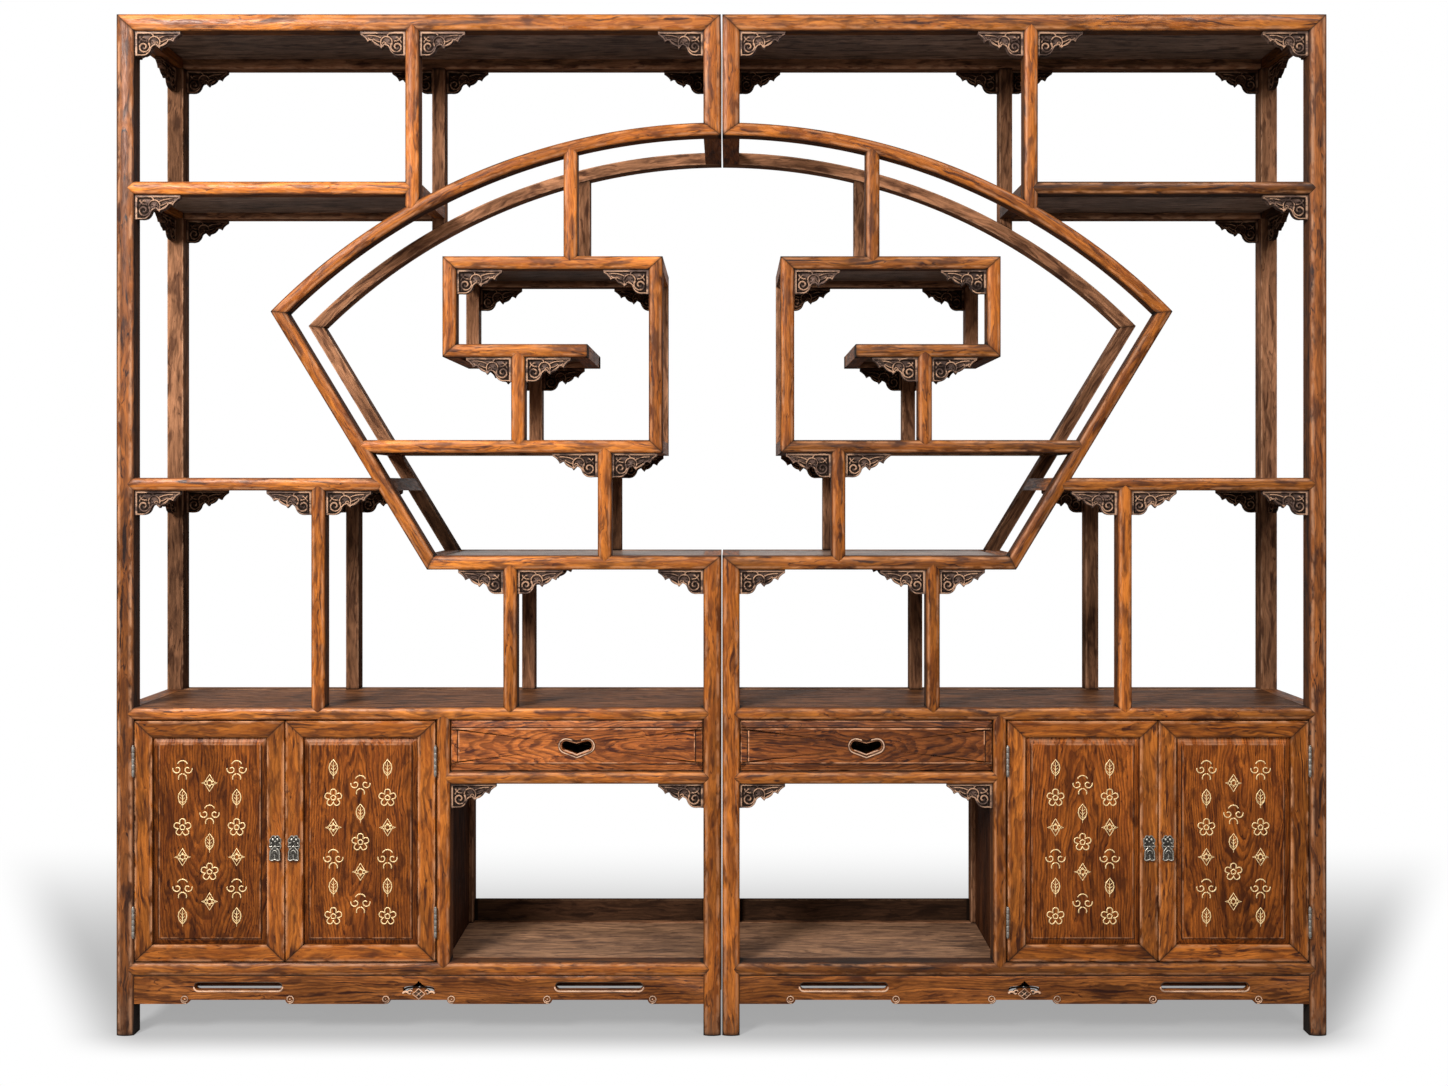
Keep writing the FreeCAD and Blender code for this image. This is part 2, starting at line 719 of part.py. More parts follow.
def bracket_places():
    """Each bracket's upright face, its way along the rail, and the rail's underside."""
    half = divider_width / 2
    return [
        (outer_face, -1, top_under),
        (upper_divider_centre + half, 1, top_under),
        (upper_divider_centre - half, -1, top_under),
        (inner_face, 1, top_under),
        (outer_face, -1, second_shelf_under()),
        (box_end - divider_width, -1, box_under),
        (box_start + divider_width, 1, box_under),
        (short_post_centre + half, 1, middle_under),
        (short_post_centre - half, -1, middle_under),
        (prop_centre + half, 1, long_under),
        (prop_centre - half, -1, long_under),
        (outer_face, -1, side_under),
        (outer_divider_centre + half, 1, side_under),
        (outer_divider_centre - half, -1, side_under),
        (inner_divider_centre + half, 1, sill_under),
        (inner_divider_centre - half, -1, sill_under),
        (inner_face, 1, sill_under),
        (partition_start, -1, drawer_rail_under),
        (inner_face, 1, drawer_rail_under),
    ]


def bracket_row(y_start):
    """The brackets of one frame, with their front faces at y_start."""
    outwards = bracket()
    inwards = outwards.mirror(vec(0, 0, 0), vec(1, 0, 0))
    row = []
    for x, way, z in bracket_places():
        piece = (outwards if way > 0 else inwards).copy()
        piece.translate(vec(x, y_start, z))
        row.append(Piece(piece))
    return row


def side_brackets():
    """The brackets in the openings of the outer side, under the top, the second and the side shelf."""
    backwards = bracket()
    backwards.rotate(vec(0, 0, 0), vec(0, 0, 1), 90)
    forwards = backwards.mirror(vec(0, 0, 0), vec(0, 1, 0))
    row = []
    for z in (top_under, second_shelf_under(), side_under):
        for shape, y in ((backwards, y_front_back), (forwards, y_rear_face)):
            piece = shape.copy()
            piece.translate(vec(outer_side - bracket_setback, y, z))
            row.append(Piece(piece))
    return row


def bored(x, z, radius, y_start, y_end):
    """A cylinder that runs straight back from one plane to another."""
    return Part.makeCylinder(radius, y_end - y_start, vec(x, y_start, z), vec(0, 1, 0))


def rounded_slot(x_middle, z_middle, length, height, y_start, y_end):
    """A slot with round ends through the apron."""
    radius = height / 2
    straight = length / 2 - radius
    middle = block(x_middle - straight, x_middle + straight, y_start, y_end,
                   z_middle - radius, z_middle + radius)
    ends = [bored(x_middle + side * straight, z_middle, radius, y_start, y_end) for side in (-1, 1)]
    return united([middle] + ends)


def apron_ornament_opening(x_middle, y_start, y_end):
    """The cloud-shaped piercing in the middle of the apron, with a point at its top."""
    top = floor_under - ornament_drop
    low = top - ornament_height + ornament_lobe_radius
    reach = ornament_width / 2 - ornament_lobe_radius
    lobes = [bored(x_middle + side * reach, low, ornament_lobe_radius, y_start, y_end) for side in (-1, 1)]
    shoulder = low + ornament_lobe_radius
    cap = [(x_middle - reach, shoulder), (x_middle, top), (x_middle + reach, shoulder),
           (x_middle + reach, low), (x_middle - reach, low)]
    return united([plate(cap, y_start, y_end)] + lobes)


def front_apron():
    """The scalloped apron: raised stretches, cloud pendants where they end, two slots and a piercing."""
    y_start = y_front + apron_setback
    y_end = y_start + apron_thickness
    half = (outer_face - inner_face) / 2
    middle = inner_face + half
    deep = floor_under - apron_height
    raised = deep + apron_rise
    solid = block(inner_face, outer_face, y_start, y_end, deep, floor_under)
    inner_share, mid_share, outer_share = pendant_shares
    low, high = deep - overrun, raised
    cuts = [block(middle - inner_share * half, middle + inner_share * half, y_start, y_end, low, high)]
    for side in (-1, 1):
        ends = sorted((middle + side * mid_share * half, middle + side * outer_share * half))
        cuts.append(block(ends[0], ends[1], y_start, y_end, low, high))
        slot_middle = middle + side * slot_share * half
        slot_height_middle = floor_under - slot_drop - slot_height / 2
        cuts.append(rounded_slot(slot_middle, slot_height_middle, slot_length, slot_height, y_start, y_end))
    cuts.append(apron_ornament_opening(middle, y_start, y_end))
    solid = solid.cut(cuts)
    pendants = [bored(middle + side * share * half, deep + pendant_radius, pendant_radius, y_start, y_end)
                for share in pendant_shares for side in (-1, 1)]
    return Piece(united([solid] + pendants))


def side_apron():
    start = outer_side - apron_setback - apron_thickness
    under = floor_under - apron_height + apron_rise
    return Piece(block(start, start + apron_thickness, y_front_back, y_rear_face, under, floor_under))


def raised_panel(x_start, x_end, z_start, z_end, y_back, y_face, bevel):
    """A field that stands forward of its margins, with a bevel all round."""
    return Part.makeWedge(x_start, 0, z_start, z_start + bevel, x_start + bevel,
                          x_end, y_back - y_face, z_end, z_end - bevel, x_end - bevel)


def bevelled_field(x_start, x_end, z_start, z_end, y_back, y_face, bevel):
    """The wedge of a raised field, turned so that its small face looks to the front."""
    field = raised_panel(x_start, x_end, z_start, z_end, y_back, y_face, bevel)
    field = field.mirror(vec(0, 0, 0), vec(0, 1, 0))
    field.translate(vec(0, y_back, 0))
    return field


def door_span(number):
    """The two sides of a door: number 0 is the inner door, beside the partition, and 1 the outer one."""
    width = (cupboard_width - 3 * door_gap) / 2
    start = partition_end + door_gap + number * (width + door_gap)
    return start, start + width


def door_levels():
    return floor_top + door_gap, counter_under - door_gap


def door_frame(number):
    """Two stiles and two rails, mitred at the corners and grooved for the panel."""
    start, end = door_span(number)
    under, top = door_levels()
    inner_start, inner_end = start + stile_width, end - stile_width
    inner_under, inner_top = under + door_rail_width, top - door_rail_width
    y_back = y_door + door_thickness
    outlines = [
        [(start, under), (inner_start, inner_under), (inner_start, inner_top), (start, top)],
        [(end, under), (inner_end, inner_under), (inner_end, inner_top), (end, top)],
        [(start, top), (inner_start, inner_top), (inner_end, inner_top), (end, top)],
        [(start, under), (inner_start, inner_under), (inner_end, inner_under), (end, under)],
    ]
    tongue = door_panel_tongue(number)
    return [Piece(plate(outline, y_door, y_back).cut(tongue)) for outline in outlines]


def door_panel_tongue(number):
    start, end = door_span(number)
    under, top = door_levels()
    margin = stile_width - groove_depth
    rail_margin = door_rail_width - groove_depth
    y_start = y_door + door_panel_setback
    return block(start + margin, end - margin, y_start, y_start + door_panel_thickness,
                 under + rail_margin, top - rail_margin)


def door_panel(number):
    """The panel: a tongue all round and a raised field with bevelled margins."""
    start, end = door_span(number)
    under, top = door_levels()
    y_back = y_door + door_panel_setback
    field = bevelled_field(start + stile_width, end - stile_width,
                           under + door_rail_width, top - door_rail_width,
                           y_back, y_back - door_panel_rise, door_panel_bevel)
    return [Piece(united([door_panel_tongue(number), field]))]


def hinge_axis(number):
    """The hinge line of a door, and the way from it to the post that carries it."""
    if number == 0:
        return partition_end + door_gap / 2, -1
    return outer_face - door_gap / 2, 1


def hinge_levels():
    under, top = door_levels()
    return under + hinge_inset, top - hinge_inset - hinge_length


def leaf(x_axis, way, z_start):
    """A flat leaf on one side of the hinge line."""
    near, far = sorted((x_axis + way * leaf_clearance, x_axis + way * door_gap / 2))
    return block(near, far, y_door, y_door + leaf_depth, z_start, z_start + hinge_length)


def knuckle(x_axis, way, z_start, length):
    """A barrel knuckle, and the web that joins it to its leaf."""
    near, far = sorted((x_axis + way * leaf_clearance, x_axis + way * door_gap / 2))
    web = block(near, far, y_hinge, y_door, z_start, z_start + length)
    return [Part.makeCylinder(barrel_radius, length, vec(x_axis, y_hinge, z_start)), web]


def hinge(number, z_start):
    """The fixed leaf with its pin, and the leaf that turns with the door."""
    x_axis, way = hinge_axis(number)
    length = (hinge_length - (knuckle_count - 1) * knuckle_gap) / knuckle_count
    fixed = [leaf(x_axis, way, z_start)]
    turning = [leaf(x_axis, -way, z_start)]
    for i in range(knuckle_count):
        owner, side = (turning, -way) if i % 2 else (fixed, way)
        owner += knuckle(x_axis, side, z_start + i * (length + knuckle_gap), length)
    fixed.append(Part.makeCylinder(hinge_pin_radius, hinge_length, vec(x_axis, y_hinge, z_start)))
    for z in (z_start - finial_length, z_start + hinge_length):
        fixed.append(Part.makeCylinder(finial_radius, finial_length, vec(x_axis, y_hinge, z)))
    bore_radius = hinge_pin_radius + hinge_pin_clearance
    bore = Part.makeCylinder(bore_radius, hinge_length, vec(x_axis, y_hinge, z_start))
    return Piece(united(fixed)), Piece(united(turning).cut(bore))


def pull_centre(number):
    """The middle of the meeting stile, and the height of the pull's pivot."""
    start, end = door_span(number)
    under, top = door_levels()
    x = end - stile_width / 2 if number == 0 else start + stile_width / 2
    return x, (under + top) / 2 - lock_plate_drop - pivot_drop + lock_plate_height / 2


def lock_plate(number):
    """The plate on the meeting stile, with two lugs and the pivot pin of the pull."""
    x, pivot = pull_centre(number)
    top = pivot + pivot_drop
    under = top - lock_plate_height
    half = lock_plate_width / 2
    foot = half * lock_plate_foot_share
    shoulder = top - half
    outline = [(x - foot, under), (x + foot, under), (x + half, pivot), (x + half, shoulder), (x + foot, top),
               (x - foot, top), (x - half, shoulder), (x - half, pivot)]
    solids = [plate(outline, y_door - lock_plate_thickness, y_door)]
    lug_start = loop_length / 2 + lug_gap
    for near in (x + lug_start, x - lug_start - lug_width):
        solids.append(block(near, near + lug_width, y_pivot - lug_height / 2, y_door - lock_plate_thickness,
                            pivot - lug_height / 2, pivot + lug_height / 2))
    pin_length = 2 * (lug_start + lug_width)
    pin_start = vec(x - pin_length / 2, y_pivot, pivot)
    solids.append(Part.makeCylinder(pivot_pin_radius, pin_length, pin_start, vec(1, 0, 0)))
    return Piece(united(solids))


def pull(number):
    """The hanging pull: a loop on the pivot pin and a bell-shaped drop."""
    x, pivot = pull_centre(number)
    loop_start = vec(x - loop_length / 2, y_pivot, pivot)
    loop = Part.makeCylinder(loop_radius, loop_length, loop_start, vec(1, 0, 0))
    neck = loop_length / 2
    waist = pull_waist_width / 2
    foot = pull_width / 2
    under = pivot - pull_length
    shoulder = pivot - lug_height
    hip = pivot - pull_length / 3
    drop = [(x - neck, pivot), (x + neck, pivot), (x + neck, shoulder), (x + waist, hip), (x + foot, under),
            (x - foot, under), (x - waist, hip), (x - neck, shoulder)]
    bore = Part.makeCylinder(pivot_pin_radius + pivot_clearance, loop_length, loop_start, vec(1, 0, 0))
    solid = united([loop, plate(drop, y_pivot - pull_thickness / 2, y_pivot + pull_thickness / 2)])
    return [Piece(solid.cut(bore))]


def door_fittings(number):
    """The turning hinge leaves and the lock plate of a door."""
    return [hinge(number, z)[1] for z in hinge_levels()] + [lock_plate(number)]


def hinge_post_leaves():
    return [hinge(number, z)[0] for number in (0, 1) for z in hinge_levels()]


def drawer_span():
    return inner_face + drawer_gap, partition_start - drawer_gap


def drawer_levels():
    return drawer_rail_top + drawer_gap, counter_under - drawer_gap


def finger_hole(x, z):
    """The heart-shaped finger hole: two lobes, a notch between them and a point below."""
    r = finger_hole_lobe_radius
    reach = finger_hole_lobe_offset
    y_end = y_door + drawer_front_thickness
    lobes = [bored(x + side * reach, z, r, y_door, y_end) for side in (-1, 1)]
    slant_share = math.sqrt(1 / 2)
    low = (reach + r * slant_share, z - r * slant_share)
    heart = [(x - low[0], low[1]), (x, z - finger_hole_point), (x + low[0], low[1]),
             (x + reach, z + r * slant_share), (x, z + finger_hole_notch), (x - reach, z + r * slant_share)]
    return united([plate(heart, y_door, y_end)] + lobes)


def drawer_front():
    """The drawer's front: a raised field with a bevel all round and a finger hole."""
    start, end = drawer_span()
    under, top = drawer_levels()
    y_edge = y_door + drawer_bevel_depth
    field = bevelled_field(start, end, under, top, y_edge, y_door, drawer_bevel)
    board = block(start, end, y_edge, y_door + drawer_front_thickness, under, top)
    front = united([board, field]).cut(finger_hole((start + end) / 2, (under + top) / 2))
    return [Piece(front.cut(drawer_bottom()[0].solid))]


def drawer_box():
    """The two sides and the back, grooved for the bottom."""
    start, end = drawer_span()
    y_start = y_door + drawer_front_thickness
    y_end = y_start + drawer_box_depth
    under = drawer_rail_top + seat_clearance
    top = drawer_levels()[1] - drawer_side_drop
    left = block(start, start + drawer_side_thickness, y_start, y_end, under, top)
    right = block(end - drawer_side_thickness, end, y_start, y_end, under, top)
    back = block(start + drawer_side_thickness, end - drawer_side_thickness,
                 y_end - drawer_side_thickness, y_end, under, top)
    bottom = drawer_bottom()[0].solid
    return [Piece(board.cut(bottom)) for board in (left, right, back)]


def drawer_bottom():
    start, end = drawer_span()
    y_start = y_door + drawer_front_thickness - drawer_groove_depth
    y_end = y_door + drawer_front_thickness + drawer_box_depth - drawer_side_thickness + drawer_groove_depth
    margin = drawer_side_thickness - drawer_groove_depth
    under = drawer_rail_top + drawer_bottom_rise
    top = under + drawer_bottom_thickness
    return [Piece(block(start + margin, end - margin, y_start, y_end, under, top))]


def unit_frames():
    """Every wooden piece of one unit's fixed frame, by group, with its joints cut."""
    groups = post_groups()
    groups["fan_rails"] = fan_rails() + [fan_tie()]
    groups["fan_sides"] = fan_sides()
    groups["top_frame"] = top_frame()
    groups["shelf_frames"] = second_shelf_frame() + side_shelf_frame()
    groups["scroll_shelf_frames"] = box_top_frame() + middle_shelf_frame() + long_shelf_frame()
    groups["sill_frame"] = sill_frame()
    groups["counter_frame"] = counter_frame()
    groups["floor_frame"] = floor_frame()
    groups["shelf_boards"] = shelf_boards()
    groups["case_boards"] = case_boards()
    groups["cupboard_case"] = cupboard_case()
    groups["drawer_rails"] = drawer_rails()
    fit_joints([piece for pieces in groups.values() for piece in pieces])
    groups["aprons"] = [front_apron(), side_apron()]
    return groups


def fit_joints(pieces):
    """Cuts each piece with the joints of the others that reach into it."""
    for piece in pieces:
        box = piece.solid.BoundBox
        tools = [joint for other in pieces if other is not piece for joint in other.joints
                 if joint.BoundBox.intersect(box)]
        if tools:
            piece.solid = piece.solid.cut(tools)


def unit_moving_groups():
    groups = {}
    for number, door in enumerate(("inner_door", "outer_door")):
        groups[door + "_frame"] = door_frame(number)
        groups[door + "_panel"] = door_panel(number)
        groups[door + "_fittings"] = door_fittings(number)
        groups[door + "_pull"] = pull(number)
    groups["drawer_front"] = drawer_front()
    groups["drawer_box"] = drawer_box()
    groups["drawer_bottom"] = drawer_bottom()
    return groups


def shared_groups():
    """Small pieces that both units hold, kept together by kind."""
    return {
        "front_brackets": bracket_row(y_front + bracket_setback),
        "rear_brackets": bracket_row(y_rear - bracket_setback - bracket_thickness),
        "side_brackets": side_brackets(),
        "hinge_post_leaves": hinge_post_leaves(),
    }


def mirrored(solid):
    return solid.mirror(vec(0, 0, 0), vec(1, 0, 0))


def write(node, solids):
    """Writes one named sub-part as a group of separate solids."""
    parts = [part for solid in solids for part in solid.Solids]
    shape = parts[0] if len(parts) == 1 else Part.makeCompound(parts)
    shape.exportStep("parts/" + node + ".step")


os.makedirs("parts", exist_ok=True)
unit = {**unit_frames(), **unit_moving_groups()}
for name, pieces in unit.items():
    write("right_" + name, [piece.solid for piece in pieces])
    write("left_" + name, [mirrored(piece.solid) for piece in pieces])
for name, pieces in shared_groups().items():
    write(name, [piece.solid for piece in pieces] + [mirrored(piece.solid) for piece in pieces])
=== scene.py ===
import math

import bmesh
import bpy
import numpy as np
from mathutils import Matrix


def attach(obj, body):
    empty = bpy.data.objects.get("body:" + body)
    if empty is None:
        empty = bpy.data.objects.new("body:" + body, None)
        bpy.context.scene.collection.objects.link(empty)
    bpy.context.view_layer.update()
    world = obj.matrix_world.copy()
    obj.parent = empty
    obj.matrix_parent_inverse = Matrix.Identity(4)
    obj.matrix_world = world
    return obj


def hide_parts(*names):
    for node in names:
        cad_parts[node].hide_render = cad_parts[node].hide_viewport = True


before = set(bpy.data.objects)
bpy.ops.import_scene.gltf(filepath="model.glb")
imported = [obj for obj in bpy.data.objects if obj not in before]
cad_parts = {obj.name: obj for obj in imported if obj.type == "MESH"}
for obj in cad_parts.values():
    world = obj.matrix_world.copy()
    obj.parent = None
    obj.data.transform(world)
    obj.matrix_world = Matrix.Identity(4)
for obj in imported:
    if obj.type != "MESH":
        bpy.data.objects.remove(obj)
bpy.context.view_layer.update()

# The view
# The camera stands level in front of the pair, a little over half way up it, on the line between
# the two units. The small shifts put the horizon and the middle where the photograph has them.
camera_data = bpy.data.cameras.new("view")
camera_data.sensor_width = 36
camera_data.lens = 36.5
camera_data.shift_x = -0.0036
camera_data.shift_y = -0.0387
camera = bpy.data.objects.new("view", camera_data)
camera.location = (0.015, -3.018, 1.074)
camera.rotation_euler = (math.pi / 2, 0, 0)
bpy.context.scene.collection.objects.link(camera)
bpy.context.scene.camera = camera
bpy.context.scene.view_settings.view_transform = "Standard"


# The studio
# A white sweep of floor takes the soft shadow of the pair, and round the pair a grey shadow is painted on
# it. Three round lamps stand in front, a strong one high on the left and weak ones on the right and in
# the middle, and a white room fills the shadows.
def node(tree, kind, inputs=None, **settings):
    """A shader node with its settings; an input is a plain value, or the socket that feeds it."""
    made = tree.nodes.new(kind)
    for name, value in settings.items():
        setattr(made, name, value)
    for name, value in (inputs or {}).items():
        if isinstance(value, bpy.types.NodeSocket):
            tree.links.new(value, made.inputs[name])
        else:
            made.inputs[name].default_value = value
    return made


def material(name):
    """An empty material and its tree of nodes."""
    made = bpy.data.materials.new(name)
    made.use_nodes = True
    made.node_tree.nodes.clear()
    return made, made.node_tree


def calc(tree, operation, a, b=0.0, clamp=False):
    return node(tree, "ShaderNodeMath", {0: a, 1: b}, operation=operation, use_clamp=clamp).outputs[0]


def chained(operation):
    """A function that takes any number of values in turn and clamps only the last result."""
    def run(tree, value, *others, clamp=False):
        for count, other in enumerate(others, 1):
            value = calc(tree, operation, value, other, clamp and count == len(others))
        return value

    return run


add, times, most = chained("ADD"), chained("MULTIPLY"), chained("MAXIMUM")


def spread(tree, value, low, high, to_low=0.0, to_high=1.0):
    """A value eased from one range to another."""
    inputs = {"Value": value, "From Min": low, "From Max": high, "To Min": to_low, "To Max": to_high}
    return node(tree, "ShaderNodeMapRange", inputs, interpolation_type="SMOOTHSTEP").outputs["Result"]


def grey(tree, value):
    return node(tree, "ShaderNodeCombineColor", {0: value, 1: value, 2: value}).outputs[0]


def sweep_paper():
    """The floor's paper: plain white to the camera, and round the pair a painted grey shadow, in which the
    real shadow still shows.
    """
    painted_shadow_share, painted_shadow_grey, lit_grey = 0.64, 0.26, 0.42
    paper, tree = material("studio_paper")
    rays = node(tree, "ShaderNodeLightPath").outputs["Is Camera Ray"]
    place = node(tree, "ShaderNodeTexCoord").outputs["Object"]
    place = node(tree, "ShaderNodeSeparateXYZ", {0: place}).outputs
    # Painted shadow: a grey area round the pair's feet, spreading sideways and back, darker to the camera
    # than to bounced light.
    beside = calc(tree, "SUBTRACT", calc(tree, "ABSOLUTE", place[0]), times(tree, place[1], 0.6))
    near = times(tree, spread(tree, beside, 1.41, 1.22), spread(tree, place[1], -0.27, -0.13),
                 spread(tree, place[1], 1.45, 0.15))
    share = times(tree, rays, calc(tree, "SUBTRACT", 1.0, times(tree, near, painted_shadow_share)))
    tone = node(tree, "ShaderNodeMapRange", {"Value": rays, "To Min": lit_grey, "To Max": painted_shadow_grey})
    plain = node(tree, "ShaderNodeBsdfDiffuse", {"Color": grey(tree, tone.outputs["Result"])})
    white = node(tree, "ShaderNodeEmission", {"Color": (1, 1, 1, 1), "Strength": 1.0})
    blend = node(tree, "ShaderNodeMixShader", {0: share, 1: plain.outputs[0], 2: white.outputs[0]})
    node(tree, "ShaderNodeOutputMaterial", {"Surface": blend.outputs[0]})
    return paper


def room():
    """A white room to the camera and in reflections, and a dim one that fills the shadows."""
    world = bpy.data.worlds.new("room")
    world.use_nodes = True
    bpy.context.scene.world = world
    tree = world.node_tree
    tree.nodes.clear()
    path = node(tree, "ShaderNodeLightPath").outputs
    seen = most(tree, path["Is Camera Ray"], path["Is Glossy Ray"], path["Is Transmission Ray"])
    fill = node(tree, "ShaderNodeBackground", {"Color": (0.95, 0.97, 1, 1), "Strength": 0.13})
    white = node(tree, "ShaderNodeBackground", {"Color": (1, 1, 1, 1), "Strength": 1.0})
    blend = node(tree, "ShaderNodeMixShader", {0: seen, 1: fill.outputs[0], 2: white.outputs[0]})
    node(tree, "ShaderNodeOutputWorld", {"Surface": blend.outputs[0]})


def studio():
    reach, aim_height = 60, 0.95
    floor_mesh = bpy.data.meshes.new("floor")
    corners = [(-reach, -reach, 0), (reach, -reach, 0), (reach, reach, 0), (-reach, reach, 0)]
    floor_mesh.from_pydata(corners, [], [(0, 1, 2, 3)])
    floor_mesh.materials.append(sweep_paper())
    floor = bpy.data.objects.new("floor", floor_mesh)
    bpy.context.scene.collection.objects.link(floor)
    room()
    for name, place, size, watts in (
        ("lamp_left", (-2.2, -3.0, 2.95), 1.3, 215),
        ("lamp_right", (2.0, -2.5, 4.0), 1.2, 55),
        ("lamp_front", (0.1, -4.8, 2.4), 2.2, 50),
    ):
        data = bpy.data.lights.new(name, "AREA")
        data.shape, data.size, data.energy = "DISK", size, watts
        lamp = bpy.data.objects.new(name, data)
        lamp.location = place
        aim = np.array((place[0] * 0.1, 0, aim_height)) - np.array(place)
        tilt = math.acos(aim[2] / np.linalg.norm(aim)) - math.pi
        lamp.rotation_euler = (tilt, 0, math.atan2(aim[0], -aim[1]))
        bpy.context.scene.collection.objects.link(lamp)


studio()


# The hardwood
# Every piece is planed from a dense reddish-brown hardwood: fine straight streaks, darker veins,
# arches of growth rings on the flat faces, and a rubbed satin lacquer that is worn at the arrises.
def tint(tree, share, first, second, kind="MIX"):
    inputs = {0: share, 6: first, 7: second}
    return node(tree, "ShaderNodeMix", inputs, data_type="RGBA", blend_type=kind).outputs[2]


def vectors(tree, operation, one, other):
    return node(tree, "ShaderNodeVectorMath", {0: one, 1: other}, operation=operation).outputs[0]


def noise(tree, vector, scales, detail=3.0, roughness=0.55, result="Fac"):
    stretched = vectors(tree, "MULTIPLY", vector, scales)
    inputs = {"Vector": stretched, "Scale": 1.0, "Detail": detail, "Roughness": roughness}
    return node(tree, "ShaderNodeTexNoise", inputs).outputs[result]


def coat(tree, colour, roughness, height, strength, distance, more):
    """The tree's surface: one shader, with a relief of the given strength and distance."""
    bump = node(tree, "ShaderNodeBump", {"Height": height, "Strength": strength, "Distance": distance})
    skin = node(tree, "ShaderNodeBsdfPrincipled", {
        "Base Color": colour, "Roughness": roughness, "Normal": bump.outputs[0], **more})
    node(tree, "ShaderNodeOutputMaterial", {"Surface": skin.outputs[0]})


def wood_group():
    """Colour, roughness and height of planed hardwood, from a place in the plank: along the grain,
    across the face, and down from the face. Wear holds the rubbed arris, the darkening of dirty seams and of
    painted shade, and the tone, which in places carries a painted highlight."""
    rings_in_a_metre = 175.0
    tree = bpy.data.node_groups.new("planed_hardwood", "ShaderNodeTree")
    for way, kind, names in (
        ("INPUT", "Vector", ("Grain", "Wear")), ("INPUT", "Color", ("Pale", "Middle", "Dark")),
        ("INPUT", "Float", ("Rings", "Veins", "Rubbed", "Satin")), ("OUTPUT", "Color", ("Color",)),
        ("OUTPUT", "Float", ("Roughness", "Height")),
    ):
        for name in names:
            tree.interface.new_socket(name, in_out=way, socket_type="NodeSocket" + kind)
    given = node(tree, "NodeGroupInput").outputs
    grain = given["Grain"]
    wear = node(tree, "ShaderNodeSeparateXYZ", {0: given["Wear"]}).outputs
    place = grain
    for scales, reach in (((3.2, 14, 14), 0.05), ((18, 40, 40), 0.009)):
        bent = vectors(tree, "SUBTRACT", noise(tree, grain, scales, 2, result="Color"), (0.5, 0.5, 0.5))
        place = vectors(tree, "ADD", place, vectors(tree, "MULTIPLY", bent, (0, reach, reach)))
    across = vectors(tree, "MULTIPLY", place, (0, 1, 1))
    radius = node(tree, "ShaderNodeVectorMath", {0: across}, operation="LENGTH").outputs["Value"]
    phase = calc(tree, "FRACT", times(tree, radius, rings_in_a_metre))
    late = times(tree, spread(tree, phase, 0.25, 0.85), spread(tree, phase, 1.0, 0.9))
    streak = noise(tree, place, (15, 330, 330), 4, 0.62)
    figure = noise(tree, place, (6, 58, 58), 3, 0.5)
    patch = spread(tree, noise(tree, grain, (2.4, 9, 9), 2), 0.38, 0.62)
    gate = spread(tree, noise(tree, grain, (13, 34, 34), 2), 0.42, 0.58)
    smudge = spread(tree, noise(tree, place, (15, 75, 75)), 0.49, 0.66)
    vein = spread(tree, noise(tree, place, (7, 110, 110), 2, 0.4), 0.61, 0.69)
    pore = spread(tree, noise(tree, grain, (60, 1100, 1100), 1), 0.6, 0.7)
    dent = spread(tree, noise(tree, grain, (190, 260, 260), 1), 0.765, 0.8)
    scuff = spread(tree, noise(tree, grain, (24, 60, 60), 3, 0.6), 0.4, 0.6)
    edge = calc(tree, "ABSOLUTE", calc(tree, "SUBTRACT", figure, 0.5))
    line = times(tree, spread(tree, edge, 0.02, 0.003), gate)
    tone = add(tree, times(tree, spread(tree, figure, 0.42, 0.6), 0.5),
               times(tree, spread(tree, streak, 0.43, 0.58), 0.55), clamp=True)
    colour = tint(tree, tone, given["Pale"], given["Middle"])
    colour = tint(tree, times(tree, smudge, 0.72), colour, given["Dark"])
    dark = add(tree, times(tree, late, given["Rings"], 0.8),
               times(tree, most(tree, vein, line), given["Veins"]), clamp=True)
    colour = tint(tree, dark, colour, given["Dark"])
    # Wear's third value, the tone, also carries the painted highlights of the left top rail and the right
    # unit's panels.
    shade = add(tree, times(tree, patch, 0.4), times(tree, wear[2], 0.4), times(tree, gate, 0.16), 0.55)
    shade = times(tree, most(tree, shade, 0.22), spread(tree, pore, 0, 1, 1.0, 0.72),
                  spread(tree, dent, 0, 1, 1.0, 0.25))
    colour = tint(tree, 1.0, colour, grey(tree, shade), "MULTIPLY")
    rubbed = times(tree, wear[0], given["Rubbed"], scuff, clamp=True)
    colour = tint(tree, rubbed, colour, tint(tree, 0.45, given["Pale"], (0.82, 0.47, 0.28, 1)))
    # Wear's second value darkens the colour: dirt at seams, and painted shade on sides, in hollows and at the
    # rear.
    dirty = times(tree, wear[1], 0.9, clamp=True)
    colour = tint(tree, dirty, colour, (0.01, 0.0055, 0.0035, 1))
    satin = add(tree, given["Satin"], spread(tree, streak, 0.4, 0.6, -0.05, 0.07), times(tree, dirty, 0.5))
    height = calc(tree, "SUBTRACT", times(tree, streak, 0.5), times(tree, pore, 0.8))
    height = calc(tree, "SUBTRACT", height, times(tree, late, 0.25))
    node(tree, "NodeGroupOutput", {"Color": colour, "Roughness": satin, "Height": height})
    return tree


hardwood = wood_group()


